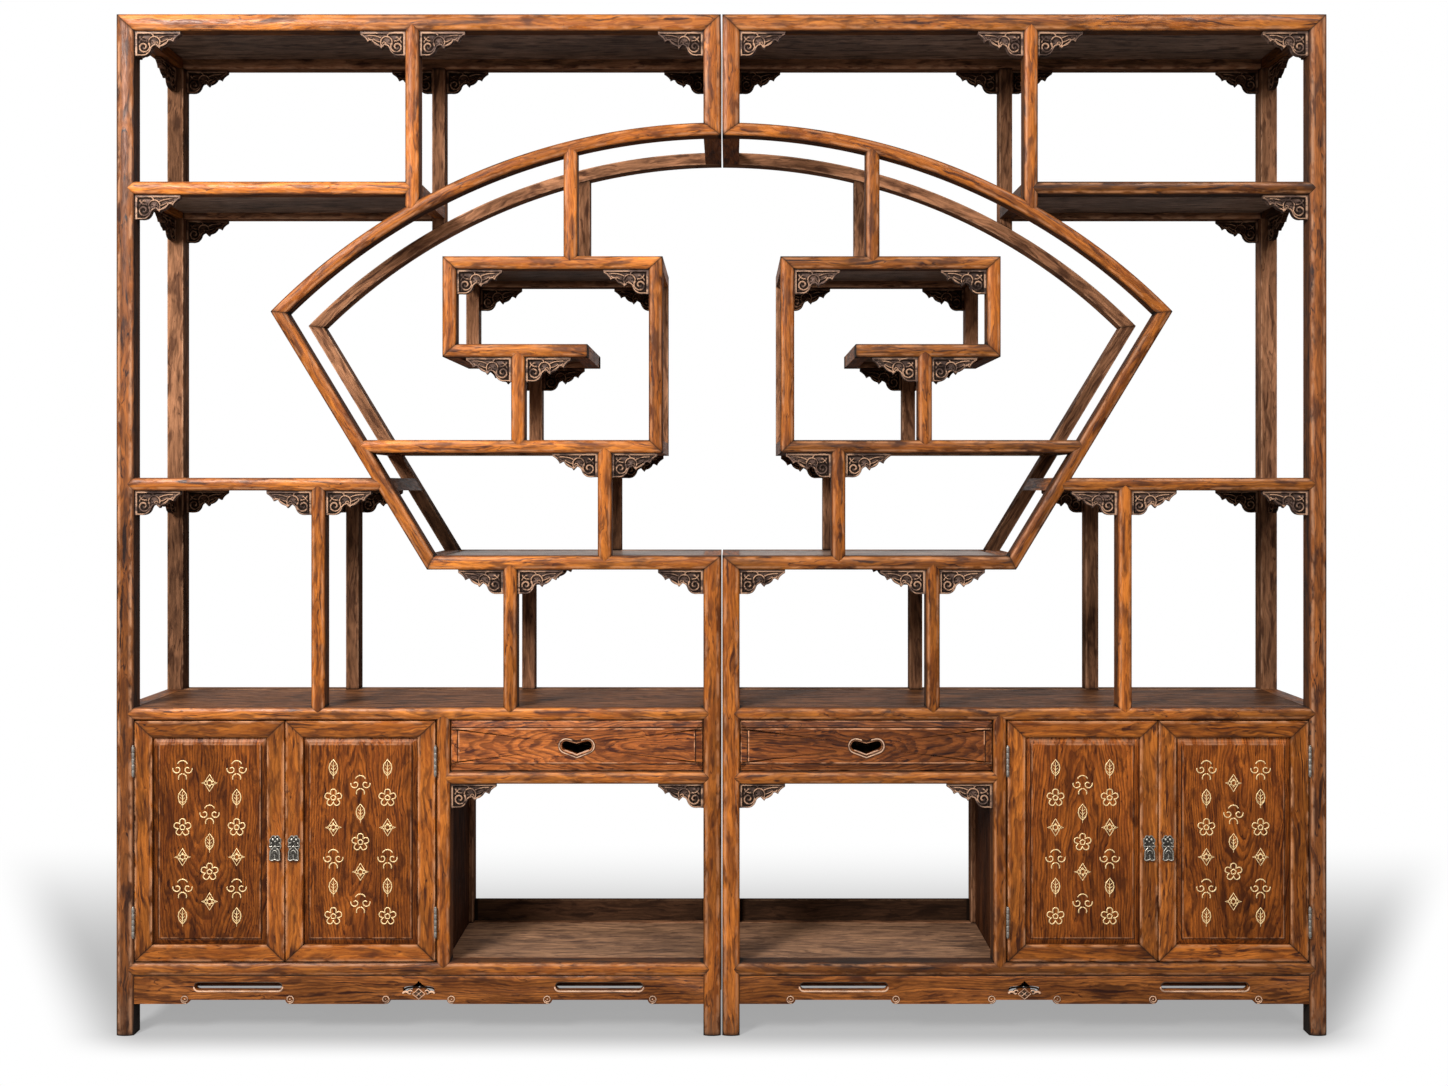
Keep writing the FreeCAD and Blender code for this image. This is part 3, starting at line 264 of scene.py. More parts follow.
def wood_finish(name, pale, middle, dark, rings, veins, rubbed, satin, gloss, along=None):
    """A lacquered finish. Made pieces carry their grain and wear; along turns a plain solid's axes."""
    made, tree = material(name)
    if along is None:
        grain, wear = [node(tree, "ShaderNodeAttribute", attribute_name=key).outputs["Vector"]
                       for key in ("grain", "wear")]
    else:
        place = node(tree, "ShaderNodeTexCoord").outputs["Object"]
        inputs = {"Vector": place, "Location": (0.3, 0.05, 0.07), "Rotation": along}
        grain, wear = node(tree, "ShaderNodeMapping", inputs).outputs[0], (0.0, 0.0, 0.5)
    wood = node(tree, "ShaderNodeGroup", {
        "Grain": grain, "Wear": wear, "Pale": (*pale, 1), "Middle": (*middle, 1), "Dark": (*dark, 1),
        "Rings": rings, "Veins": veins, "Rubbed": rubbed, "Satin": satin}, node_tree=hardwood).outputs
    coat(tree, wood["Color"], wood["Roughness"], wood["Height"], 0.5, 0.0004, {"Specular IOR Level": gloss})
    return made


post_finish = wood_finish("post_hardwood", (0.43, 0.13, 0.02), (0.225, 0.058, 0.009), (0.05, 0.014, 0.006),
                          0.4, 0.65, 0.8, 0.38, 0.13)
outer_finish = wood_finish("outer_hardwood", (0.3, 0.094, 0.021), (0.14, 0.04, 0.01), (0.024, 0.009, 0.006),
                           0.45, 0.8, 1.1, 0.38, 0.17)
# The rails' finish is a paler copy of the posts': partly a painted highlight of the light that level rails
# catch from above.
rail_painted_light_finish = wood_finish("rail_hardwood", (0.55, 0.175, 0.026), (0.285, 0.075, 0.011), (0.055, 0.015, 0.006),
                          0.45, 0.7, 0.8, 0.36, 0.2)
# The rear frame's finish is greyer and paler than the posts': a painted sheen. Its own gloss is low.
rear_painted_sheen_finish = wood_finish("rear_hardwood", (0.37, 0.165, 0.08), (0.19, 0.083, 0.04), (0.045, 0.017, 0.01),
                          0.35, 0.6, 1.1, 0.6, 0.03)

# The posts
# Outer and inner posts run from the floor to the top frame as square feet, with mitred heads. Their
# front faces are planed to a low swell, and the rear posts stay flat. Slim dividers stand between.
inner_side, inner_face, outer_face, outer_side = 0.0015, 0.0355, 1.151, 1.185
top_under, top_level = 1.968, 2.0
sill_under, sill_top = 0.912, 0.939
counter_under, counter_top = 0.618, 0.642
side_under, side_top = 1.067, 1.092
front_plane, front_back, rear_plane, rear_back = -0.1471, -0.1111, 0.1529, 0.1169
divider_width = 0.027
face_swell = 0.0035
tongue_depth = 0.012
# Painted shade on the upright rear bars, by height: darkest in the bottom bay, none in the middle bay.
painted_shade_levels = (0.62, 0.68, 1.0, 1.1, 1.62, 1.7)
painted_shade_shares = (0.2, 0.5, 0.5, 0.0, 0.0, 0.35)
seam_reach, floor_darkening_reach, floor_scuff_reach = 0.0026, 0.09, 0.03
log_corners = ((0, -0.05, 0.02), (9, 0.05, 0.1))
dice = np.random.default_rng(7)


def swelled_profile(width):
    """A front bar's section: a face that swells by a power of the distance from the middle, rounded
    arrises, flat sides and a back with small chamfers. Columns: across, depth, and rubbed; a negative
    value is painted shade, on the sides and at the face's outer edges."""
    half, ease, depth = width / 2, 0.0013, front_back - front_plane
    t = np.sin(np.linspace(-1, 1, 15) * math.pi / 2)
    rubbed = 0.75 * np.exp(-((np.abs(t) - 0.72) / 0.13) ** 2)
    # Painted shade: the face darkens at its outer edges.
    rubbed -= 0.55 * np.clip((np.abs(t) - 0.93) / 0.05, 0, 1)
    face = np.stack([t * (half - ease), face_swell * np.abs(t) ** 2.3, rubbed], 1)
    # The sides carry painted shade.
    side = np.array([(half - ease * 0.3, face_swell + ease * 0.3, -0.45), (half, face_swell + ease, -0.7),
                     (half, face_swell + 0.004, -0.8), (half, depth - 0.004, -0.8), (half, depth - ease, 0.2),
                     (half - ease, depth, 0.2)])
    return np.concatenate([face, side, side[::-1] * (-1, 1, 1)])


def flat_profile(width, depth, ease=0.001):
    """A plain rectangle of width across and depth inwards, with eased arrises."""
    half = width / 2
    flat = min(4 * ease, 0.4 * min(width, depth))
    corner = np.array([(half - flat, 0, 0), (half - ease, 0, 0.5), (half - ease * 0.3, ease * 0.3, 1),
                       (half, ease, 0.4), (half, flat, 0)])
    side = np.concatenate([corner, (corner * (1, -1, 1) + (0, depth, 0))[::-1]])
    return np.concatenate([side, (side * (-1, 1, 1))[::-1]])


def loft(rings, grain, wear, close=True):
    """A closed skin over a grid of points, (rings, points round each ring), capped at both ends."""
    m, n = rings.shape[:2]
    index = np.arange(m * n).reshape(m, n)
    follow = np.roll(index, -1, 1)
    quads = np.stack([index[:-1], follow[:-1], follow[1:], index[1:]], -1).reshape(-1, 4)
    caps = [index[0][::-1], index[-1]] if close else []
    return {"points": rings.reshape(-1, 3), "quads": quads, "caps": caps,
            "grain": grain.reshape(-1, 3), "wear": wear.reshape(-1, 3)}


def weathered(rings, rubbed, dirty, tone=0.5):
    """How rubbed, how darkened and of what tone each point of a grid is: the darkening is dirt and, in
    places, painted shade, and the tone in places carries a painted highlight.
    """
    return np.stack(np.broadcast_arrays(rubbed, dirty, tone + 0 * rings[..., 0]), -1)


def standing(flat, y):
    """Points (x, z) put at the depth y."""
    return np.stack([flat[..., 0], y + 0 * flat[..., 0], flat[..., 1]], -1)


def stations(length, spacing):
    """Distances from a bar's end, close together, and the shares of the stations between its ends."""
    near = np.array([0, 0.0012, 0.003, 0.008])
    return near[near < length / 3], np.linspace(0, 1, max(2, int(length / spacing)))[1:-1]


def swept(profile, start_ends, finish_ends, length, place, dip=0.0006, spacing=0.05):
    """A profile carried along a path. Each of its points starts and stops at its own distance, from
    the two cuts; place turns distance, across and depth into a point. The ends dip into a fine seam."""
    across, depth, rubbed = profile.T
    near, shares = stations(length, spacing)
    first = start_ends[None] + near[:, None]
    last = finish_ends[None] - near[::-1, None]
    middle = first[-1] + (last[0] - first[-1]) * shares[:, None]
    s = np.concatenate([first, middle, last])
    seam = np.exp(-near / seam_reach)
    seam = np.concatenate([seam, np.zeros(len(shares)), seam[::-1]])[:, None] + 0 * across
    a = across + 0 * s
    d = depth + seam * dip * (depth < tongue_depth)
    offset = dice.uniform(*log_corners)
    lean = dice.uniform(-0.03, 0.03, 2)
    grain = np.stack([s + offset[0], a + offset[1] + s * lean[0], d + offset[2] + s * lean[1]], -1)
    points = place(s, a, d)
    height = np.maximum(points[..., 2], 0)
    # Painted shade where the profile is negative, and a darkening towards the floor.
    grime_and_shade = np.maximum(-rubbed, 0) + 0.6 * np.exp(-height / floor_darkening_reach)
    scuffed = 0.5 * np.exp(-height / floor_scuff_reach) * (depth < 0.004)
    wear = weathered(points, np.maximum(rubbed, 0) + scuffed, seam + grime_and_shade, dice.uniform(0, 1))
    return loft(points, grain, wear)


def member(one, other, profile, y, sign, pointed):
    """A straight bar between two cuts, each given by its corners (x, z) and by a tip between them where
    a mitred tongue enters the next bar. The section runs inwards from the plane y, forwards if negative."""
    one, other = np.array(one), np.array(other)
    start, end = (one[0] + one[-1]) / 2, (other[0] + other[-1]) / 2
    length = np.linalg.norm(end - start)
    way = (end - start) / length
    out = np.array([-way[1], way[0]])

    def cut(points, origin):
        a, s = (points - origin) @ out, (points - origin) @ way
        order = np.argsort(a)
        deep = np.interp(profile[:, 0], a[order][[0, -1]], s[order][[0, -1]])
        if not pointed or len(points) == 2:
            return deep
        return np.where(profile[:, 1] < tongue_depth, np.interp(profile[:, 0], a[order], s[order]), deep)

    def place(s, a, d):
        return standing(start + s[..., None] * way + a[..., None] * out, y + sign * d)

    return swept(profile, cut(one, start), cut(other, start), length, place)


def bar(one, other, rear=False):
    """A bar of the front frame, swelled and with its tongues, or of the rear frame, flat and plain. Painted
    shade darkens the rear bars: evenly on the level ones, and by their height on the others."""
    one, other = np.array(one), np.array(other)
    way = (other[0] + other[-1] - one[0] - one[-1]) / 2
    width = abs(np.cross(one[-1] - one[0], way)) / np.linalg.norm(way)
    if rear:
        flat = abs(way[1]) < abs(way[0]) * 0.01
        profile = flat_profile(width, rear_plane - rear_back, 0.002 if flat else 0.001)
        made = member(one, other, profile, rear_plane, -1, False)
        # Painted shade: the level rear bars darken where they are not rubbed, and the others by their height.
        if flat:
            made["wear"][:, 1] += 0.3 * (made["wear"][:, 0] < 0.1)
        else:
            made["wear"][:, 1] += np.interp(made["points"][:, 2], painted_shade_levels, painted_shade_shares)
        return {**made, "rear": True}
    return member(one, other, swelled_profile(width), front_plane, 1, True)


def both(one, other):
    """The same bar in the front frame and in the rear frame."""
    return [bar(one, other), bar(one, other, rear=True)]


def upright(x, low, high, width, low_reach, high_reach):
    h = width / 2
    return both([(x - h, low), (x, low - low_reach), (x + h, low)],
                [(x - h, high), (x, high + high_reach), (x + h, high)])


def level(start, end, under, top, start_reach, end_reach):
    z = (under + top) / 2
    return both([(start, under), (start - start_reach, z), (start, top)],
                [(end, under), (end + end_reach, z), (end, top)])


def turned(shells, side):
    """The skins of one unit, or their mirror images for the other."""
    return [{**shell, "points": shell["points"] * (side, 1, 1)} for shell in shells]


def placed(name, mesh, finish, body, nodes):
    """The object of a mesh, which rides on its body and stands for the solids named by nodes."""
    mesh.materials.append(finish)
    made = bpy.data.objects.new(name, mesh)
    bpy.context.scene.collection.objects.link(made)
    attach(made, body)
    if nodes:
        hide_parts(*nodes)
    return made


def piece(name, shells, finish, body, nodes=(), sharp=32):
    """One object from closed skins: each skin is turned outwards by the sign of its volume, and its
    grain and wear go to the mesh as attributes."""
    points, loops, counts, grain, wear, base = [], [], [], [], [], 0
    for shell in shells:
        p, quads = shell["points"], shell["quads"]
        v = p[quads]
        volume = sum(np.einsum("ij,ij->", v[:, 0], np.cross(v[:, k], v[:, k + 1])) for k in (1, 2))
        for cap in shell["caps"]:
            c = p[cap]
            volume += np.einsum("ij,ij->", np.broadcast_to(c[0], c[1:-1].shape), np.cross(c[1:-1], c[2:]))
        turn = 1 if volume > 0 else -1
        loops.append((quads[:, ::turn] + base).ravel())
        counts.append(np.full(len(quads), 4))
        for cap in shell["caps"]:
            loops.append(cap[::turn] + base)
            counts.append(np.array([len(cap)]))
        points.append(p)
        grain.append(shell["grain"])
        wear.append(shell["wear"])
        base += len(p)
    points, loops, counts = np.concatenate(points), np.concatenate(loops), np.concatenate(counts)
    mesh = bpy.data.meshes.new(name)
    mesh.vertices.add(len(points))
    mesh.vertices.foreach_set("co", points.astype(np.float32).ravel())
    mesh.loops.add(len(loops))
    mesh.loops.foreach_set("vertex_index", loops.astype(np.int32))
    mesh.polygons.add(len(counts))
    mesh.polygons.foreach_set("loop_start", np.concatenate([[0], np.cumsum(counts)[:-1]]).astype(np.int32))
    mesh.update(calc_edges=True)
    for key, values in (("grain", grain), ("wear", wear)):
        layer = mesh.attributes.new(key, "FLOAT_VECTOR", "POINT")
        layer.data.foreach_set("vector", np.concatenate(values).astype(np.float32).ravel())
    mesh.shade_smooth()
    mesh.set_sharp_from_angle(angle=math.radians(sharp))
    return placed(name, mesh, finish, body, nodes)


sides = (("right", 1), ("left", -1))


def fixed(label, build, finish, tones=(0, 0), node_label=None):
    """The same frame pieces of the two units, each cut from planks of its own. The rear ones take a duller
    finish whose greyer colour is a painted sheen, and tones makes the right and the left unit's front planks
    paler or darker."""
    for unit, (side, sign) in enumerate(sides):
        shells = turned(build(), sign)
        for shell in shells:
            shell["wear"][:, 2] += 0 if shell.get("rear", False) else shell.get("tones", tones)[unit]
        for rear, kind, skin in ((False, "made", finish), (True, "rear", rear_painted_sheen_finish)):
            some = [shell for shell in shells if shell.get("rear", False) == rear]
            if some:
                piece(f"{side}_{label}_{kind}", some, skin, "root", [f"{side}_{node_label or label}"])


def toned(shells, right, left):
    """The same pieces, made paler or darker by a tone shift in the right and in the left unit."""
    return [{**shell, "tones": (right, left)} for shell in shells]


fan_radius, fan_centre = 1.2400661621621623, 0.5479338378378377
fan_rail_width, fan_side_width = 0.025, 0.026
fan_tip, fan_foot = np.array((0.8836, 1.418)), np.array((0.577, 0.912))
side_way = (fan_tip - fan_foot) / np.linalg.norm(fan_tip - fan_foot)
side_out = np.array((-side_way[1], side_way[0]))


def fan_height(x, inset):
    """Height of the fan's circle at x, inset towards its centre."""
    return fan_centre + math.sqrt((fan_radius - inset) ** 2 - x ** 2)


def side_reach(z, inset):
    """Place of the fan's slanted line at a height, inset towards the inside."""
    start = fan_foot + side_out * inset
    return start[0] + side_way[0] * (z - start[1]) / side_way[1]


def on_curve(x, foot, inset, reach):
    """A divider between a level rail and the fan's curve."""
    h = divider_width / 2
    tip = foot - math.copysign(reach, fan_height(x, inset) - foot)
    return both([(x - h, foot), (x, tip), (x + h, foot)],
                [(x - h, fan_height(x - h, inset)), (x, fan_height(x, fan_rail_width / 2)),
                 (x + h, fan_height(x + h, inset))])


def inner_posts():
    crown = [(inner_side, fan_height(inner_side, fan_rail_width)), (inner_face, fan_height(inner_face, 0))]
    upper = both(crown, [(inner_side, top_level), (inner_face, top_under)])
    lower = both([(inner_side, 0), (inner_face, 0)], [(inner_side, sill_top), (inner_face, sill_under)])
    return upper + lower


def outer_posts():
    return both([(outer_face, 0), (outer_side, 0)], [(outer_face, top_under), (outer_side, top_level)])


upper_divider, outer_divider, inner_divider = 0.606, 0.79, 0.414
shelf_tongue, sill_tongue, counter_tongue, floor_tongue = 0.0125, 0.0135, 0.012, 0.013


def divider_posts():
    upper = on_curve(upper_divider, top_under, 0, sill_tongue)
    outer = upright(outer_divider, counter_top, side_under, divider_width, counter_tongue, shelf_tongue)
    inner = upright(inner_divider, counter_top, sill_under, divider_width, counter_tongue, sill_tongue)
    return upper + toned(outer, 1.6, 0.6) + toned(inner, -1.2, 0)


fixed("outer_posts", outer_posts, outer_finish, (0, -0.6))
fixed("inner_posts", inner_posts, post_finish)
fixed("divider_posts", divider_posts, post_finish)


# The fan
# Two curved rails, sawn to a large arc, meet slanted sides in mitres and frame the shared bay. The
# front ones are swelled like the posts. A short tie joins the rails' centre ends.
def fan_rail(rear=False):
    """The rail's section carried about the fan's centre, with each line cut at its own angle."""
    width, mid = fan_rail_width, fan_radius - fan_rail_width / 2
    profile = flat_profile(width, rear_plane - rear_back) if rear else swelled_profile(width)
    y, sign = (rear_plane, -1) if rear else (front_plane, 1)
    share = profile[:, 0] / width + 0.5
    start = fan_foot + side_out * fan_side_width
    along = (start - (0, fan_centre)) @ side_way
    rest = (start - (0, fan_centre)) @ (start - (0, fan_centre)) - (fan_radius - width) ** 2
    tip_inside = start + side_way * (-along + math.sqrt(along ** 2 - rest))
    low = np.arcsin((inner_side + (inner_face - inner_side) * share) / (mid + profile[:, 0]))
    angle = [math.atan2(p[0], p[1] - fan_centre) for p in (tip_inside, fan_tip)]
    high = angle[0] + (angle[1] - angle[0]) * share

    def place(s, a, d):
        turn, radius = s / mid, mid + a
        return np.stack([radius * np.sin(turn), y + sign * d, fan_centre + radius * np.cos(turn)], -1)

    made = swept(profile, low * mid, high * mid, mid * angle[1], place, spacing=0.018)
    return {**made, "rear": rear}, tip_inside


def board(x0, x1, y0, y1, z0, z1, along="x", ease=0.001):
    """A planed board or rail between two corners, with its grain along one of the three axes."""
    low, high = np.array((x0, y0, z0)), np.array((x1, y1, z1))
    axis = "xyz".index(along)
    wide, deep = [i for i in (0, 1, 2) if i != axis]
    if high[wide] - low[wide] < high[deep] - low[deep]:
        wide, deep = deep, wide
    unit = np.eye(3)
    start = low.copy()
    start[wide] = (low[wide] + high[wide]) / 2
    start[deep] = high[deep]
    length = high[axis] - low[axis]
    profile = flat_profile(high[wide] - low[wide], high[deep] - low[deep], ease)
    zero = np.zeros(len(profile))

    def place(s, a, d):
        return start + s[..., None] * unit[axis] + a[..., None] * unit[wide] - d[..., None] * unit[deep]

    return swept(profile, zero, zero + length, length, place, dip=0)


def end_rail(outline):
    """A rail from the front frame back to the rear frame, over four corners (x, z)."""
    corners = np.array(outline)
    middle = corners.mean(0)
    y = np.array([front_back, front_back + 0.004, 0, rear_back - 0.004, rear_back])
    y[2] = (y[1] + y[3]) / 2
    rings = np.stack([standing(corners, depth) for depth in y])
    grain = rings[..., [1, 0, 2]] - (0, middle[0], middle[1]) + dice.uniform(*log_corners)
    # Dark seams at both ends, and painted shade along the rail between them.
    dirty = np.array([1, 0.5, 0.45, 0.5, 1])[:, None]
    return loft(rings, grain, weathered(rings, 0, dirty, dice.uniform(0, 1)))


def rectangle(x0, x1, z0, z1):
    return [(x0, z0), (x1, z0), (x1, z1), (x0, z1)]


def slanted(z0, z1):
    return [(side_reach(z0, fan_side_width), z0), (side_reach(z0, 0), z0),
            (side_reach(z1, 0), z1), (side_reach(z1, fan_side_width), z1)]


def into_side(under, top, inset):
    """The end of a rail whose tongue enters the slanted side."""
    middle = (under + top) / 2
    return [(side_reach(under, inset), under), (side_reach(middle, fan_side_width / 2), middle),
            (side_reach(top, inset), top)]


tip_inside = fan_rail()[1]


def fan_rails():
    tie = fan_height(inner_side, fan_rail_width)
    return [fan_rail()[0], fan_rail(rear=True)[0],
            end_rail(rectangle(inner_side, inner_face, tie, tie + fan_rail_width))]


def fan_sides():
    return both([tuple(fan_foot), (side_reach(sill_top, fan_side_width), sill_top)],
                [tuple(fan_tip), tuple(tip_inside)])


fixed("fan_rails", fan_rails, post_finish)
fixed("fan_sides", fan_sides, post_finish)

# The scroll inside the fan
# A square hook of shelves hangs from a short stem: a box with two mitred sides, a shelf that ends
# free half way in, a long shelf below, and a prop down to the sill.
box_start, box_end, middle_end = 0.1155, 0.5468, 0.263
stem, prop, short_post = 0.296, 0.229, 0.3986
long_under, long_top = 1.141, 1.166
middle_under, middle_top = 1.329, 1.354
box_under, box_top = 1.501, 1.526


def scroll_posts():
    inner = both([(box_start, long_under), (box_start + divider_width, long_top)],
                 [(box_start, box_top), (box_start + divider_width, box_under)])
    outer = both([(box_end - divider_width, middle_top), (box_end, middle_under)],
                 [(box_end - divider_width, box_under), (box_end, box_top)])
    return (on_curve(stem, box_top, fan_rail_width, shelf_tongue) + inner + outer
            + upright(short_post, long_top, middle_under, divider_width, shelf_tongue, shelf_tongue)
            + upright(prop, sill_top, long_under, divider_width, sill_tongue, shelf_tongue))


def scroll_shelf_frames():
    inner, outer = box_start + divider_width, box_end - divider_width
    top = both([(box_start, box_top), (inner, box_under)], [(box_end, box_top), (outer, box_under)])
    middle = both([(middle_end, middle_under), (middle_end, middle_top)],
                  [(box_end, middle_under), (outer, middle_top)])
    low = both([(box_start, long_under), (inner, long_top)], into_side(long_under, long_top, fan_side_width))
    ends = [rectangle(box_start, inner, box_under, box_top), rectangle(outer, box_end, box_under, box_top),
            rectangle(middle_end, middle_end + divider_width, middle_under, middle_top),
            rectangle(outer, box_end, middle_under, middle_top),
            rectangle(box_start, inner, long_under, long_top), slanted(long_under, long_top)]
    return top + middle + low + [end_rail(outline) for outline in ends]


fixed("scroll_posts", scroll_posts, post_finish, (0.2, 0.2))
fixed("scroll_shelf_frames", scroll_shelf_frames, rail_painted_light_finish, (-0.9, 0.4))

# The level frames
# Top, second and side shelf, sill, counter and floor are frames of four rails. The front rails are
# swelled and enter the posts with pointed tongues, and end rails tie front to rear.
second_start = upper_divider + divider_width / 2
second_under = fan_height(second_start, 0) + 0.025
second_top = second_under + 0.025
floor_under, floor_top = 0.117, 0.143
partition_start, partition_end = 0.5315, 0.558


def closed(rails, first, last):
    return rails + [end_rail(first), end_rail(last)]


def outer_end(under, top):
    return rectangle(outer_face, outer_side, under, top)


def inner_end(under, top):
    return rectangle(inner_side, inner_face, under, top)


def top_frame():
    """The left unit's front rail is painted darker at its middle and paler towards its outer end: a painted
    highlight.
    """
    rails = both([(inner_side, top_level), (inner_face, top_under)],
                 [(outer_side, top_level), (outer_face, top_under)])
    # Painted highlight: the left front rail grows paler towards its outer end.
    paler = np.clip(2.8 * (np.abs(rails[0]["points"][:, 0]) - 0.58), -0.8, 0.9)
    rails = toned(rails[:1], -0.9, paler + 0.1) + rails[1:]
    return closed(rails, inner_end(top_under, top_level), outer_end(top_under, top_level))


def second_frame():
    return closed(level(second_start, outer_face, second_under, second_top, shelf_tongue, shelf_tongue),
                  rectangle(second_start - divider_width, second_start, second_under, second_top),
                  outer_end(second_under, second_top))


def side_frame():
    z = (side_under + side_top) / 2
    rails = both(into_side(side_under, side_top, 0),
                 [(outer_face, side_under), (outer_face + shelf_tongue, z), (outer_face, side_top)])
    return closed(rails, slanted(side_under, side_top), outer_end(side_under, side_top))


def sill_frame():
    rails = both([(inner_side, sill_top), (inner_face, sill_under)],
                 [(side_reach(sill_top, fan_side_width), sill_top), tuple(fan_foot)])
    return closed(rails, inner_end(sill_under, sill_top), slanted(sill_under, sill_top))


def counter_frame():
    rails = level(inner_face, outer_face, counter_under, counter_top, counter_tongue, counter_tongue)
    return closed(rails, inner_end(counter_under, counter_top), outer_end(counter_under, counter_top))


def floor_frame():
    rails = level(inner_face, outer_face, floor_under, floor_top, floor_tongue, floor_tongue)
    lip_front, lip_back, lip_height = rear_plane - 0.018, rear_plane - 0.006, 0.0446
    lip = board(inner_face, partition_start, lip_front, lip_back, floor_top, floor_top + lip_height)
    # Painted shade: the lip at the back of the open bay is darkened.
    lip["wear"][:, 1] += 0.85
    rails = closed(rails, inner_end(floor_under, floor_top), outer_end(floor_under, floor_top))
    return rails + [{**lip, "rear": True}]


for label, build, tones, node_label in (
    ("top_frame", top_frame, (-0.9, 0.1), "top_frame"),
    ("second_frame", second_frame, (-1.9, 0.5), "shelf_frames"),
    ("side_frame", side_frame, (0, 0.1), "shelf_frames"),
    ("sill_frame", sill_frame, (-0.5, 0), "sill_frame"),
    ("counter_frame", counter_frame, (-0.8, -0.4), "counter_frame"),
    ("floor_frame", floor_frame, (-1, -0.6), "floor_frame"),
):
    fixed(label, build, rail_painted_light_finish, tones, node_label)

# The boards
# Thin boards of a darker, plainer cut lie in grooves of the frames, a hair below the rails' faces.
# They are seen from below in the top bays and from above on the counter and the floor.
board_finish = wood_finish("board_hardwood", (0.3, 0.19, 0.135), (0.155, 0.1, 0.072), (0.035, 0.019, 0.013),
                           0.35, 0.5, 0.5, 0.36, 0.06)
counter_finish = wood_finish("counter_hardwood", (0.22, 0.088, 0.034), (0.11, 0.042, 0.018),
                             (0.028, 0.011, 0.006), 0.5, 0.6, 0.5, 0.52, 0.02)
# The floor board's finish is a paler, greyer copy of the counter's: painted light and a painted sheen.
floor_painted_sheen_finish = wood_finish("floor_hardwood", (0.36, 0.19, 0.1), (0.2, 0.105, 0.06), (0.07, 0.036, 0.024),
                           0.5, 0.6, 0.5, 0.5, 0.04)
board_thickness, board_recess, board_groove = 0.012, 0.0005, 0.004


def shelf_boards(*spans):
    front, rear = front_back - board_groove, rear_back + board_groove
    return [board(start - board_groove, end + board_groove, front, rear, top - board_recess - board_thickness,
                  top - board_recess) for start, end, top in spans]


fixed("shelf_boards", lambda: shelf_boards(
    (inner_face, outer_face, top_level), (second_start, outer_face, second_top),
    (side_reach(side_under, 0), outer_face, side_top),
    (inner_face, side_reach(sill_under, fan_side_width), sill_top),
    (box_start + divider_width, box_end - divider_width, box_top),
    (middle_end + divider_width, box_end - divider_width, middle_top),
    (box_start + divider_width, side_reach(long_under, fan_side_width), long_top)),
    board_finish)
for label, top, finish in (
    ("counter_board", counter_top, counter_finish),
    ("floor_board", floor_top, floor_painted_sheen_finish),
):
    fixed(label, lambda: shelf_boards((inner_face, outer_face, top)), finish,
          node_label="case_boards")

# The cupboard case
# A partition of two posts and a thin panel divides the drawer side from the cupboard. Thin panels
# close the cupboard's outer side and back, and the space behind the drawer. They are painted nearly
# black, a painted shade for the dark inside of the case.
# Painted shade: the case panels and the apron's batten take this nearly black finish.
painted_shade_case_finish = wood_finish("case_hardwood", (0.095, 0.032, 0.011), (0.045, 0.014, 0.006),
                          (0.014, 0.005, 0.003), 0.5, 0.6, 0.5, 0.6, 0.02)
fixed("cupboard_case", lambda: upright((partition_start + partition_end) / 2, floor_top, counter_under,
                                       partition_end - partition_start, floor_tongue, counter_tongue),
      post_finish)


partition_panel, outer_panel, drawer_back_under = (0.54075, 0.54875), (1.161, 1.169), 0.513


def case_panels():
    front, rear, back = front_back - board_groove, rear_back + board_groove, rear_back + 0.002
    under, top = floor_top - 0.002, counter_under + 0.002
    return [board(*partition_panel, front, rear, under, top, "z"),
            board(*outer_panel, front, rear, under, top, "z"),
            board(partition_end - board_groove, outer_face + board_groove, back, back + 0.006,
                  floor_top, top, "z"),
            board(inner_face - board_groove, partition_start + board_groove, back, back + 0.006,
                  drawer_back_under, top)]


for side, sign in sides:
    piece(f"{side}_case_panels", turned(case_panels(), sign), painted_shade_case_finish, "root",
          [f"{side}_cupboard_case"])

# The rails under the drawer
# A swelled rail crosses the front below the drawer, and a flat one the back. Two bearers run between
# them for the drawer's sides, with a guide at the partition and a thin board at the centre post.
rail_under, rail_top = 0.4925, 0.5165


def drawer_rails():
    return level(inner_face, partition_start, rail_under, rail_top, counter_tongue, counter_tongue) + [
        end_rail(rectangle(inner_side, inner_face + 0.024, rail_under, rail_top)),
        end_rail(rectangle(partition_start - 0.024, partition_panel[0], rail_under, rail_top)),
        board(partition_start, partition_panel[0], front_back, rear_back, rail_top, rail_top + 0.026, "y"),
        board(inner_face - 0.008, inner_face, front_back, rear_back, rail_top, counter_under, "y")]


fixed("drawer_rails", drawer_rails, rail_painted_light_finish, (-0.1, 0.3))

# The carved corner brackets
# Each is sawn from thin board with a scalloped lower edge. A flat band along post and rail, a spiral
# lobe and leaf scrolls stand on a sunk ground. The ground is dusty and its hollows take painted shade,
# and the tops are worn pale. The rear and side brackets take a darker copy of the finish, a painted shade.
carved_finish = wood_finish("carved_hardwood", (0.14, 0.082, 0.06), (0.078, 0.047, 0.036),
                            (0.02, 0.01, 0.008), 0.2, 0.35, 1.5, 0.4, 0.1)
# Pale wood for carved lines and rims: worn wood, and a painted highlight on the beads.
worn_and_highlight_finish = wood_finish("worn_and_highlight_hardwood", (0.62, 0.4, 0.27), (0.4, 0.23, 0.15), (0.16, 0.08, 0.05),
                          0.2, 0.3, 1.0, 0.45, 0.1)
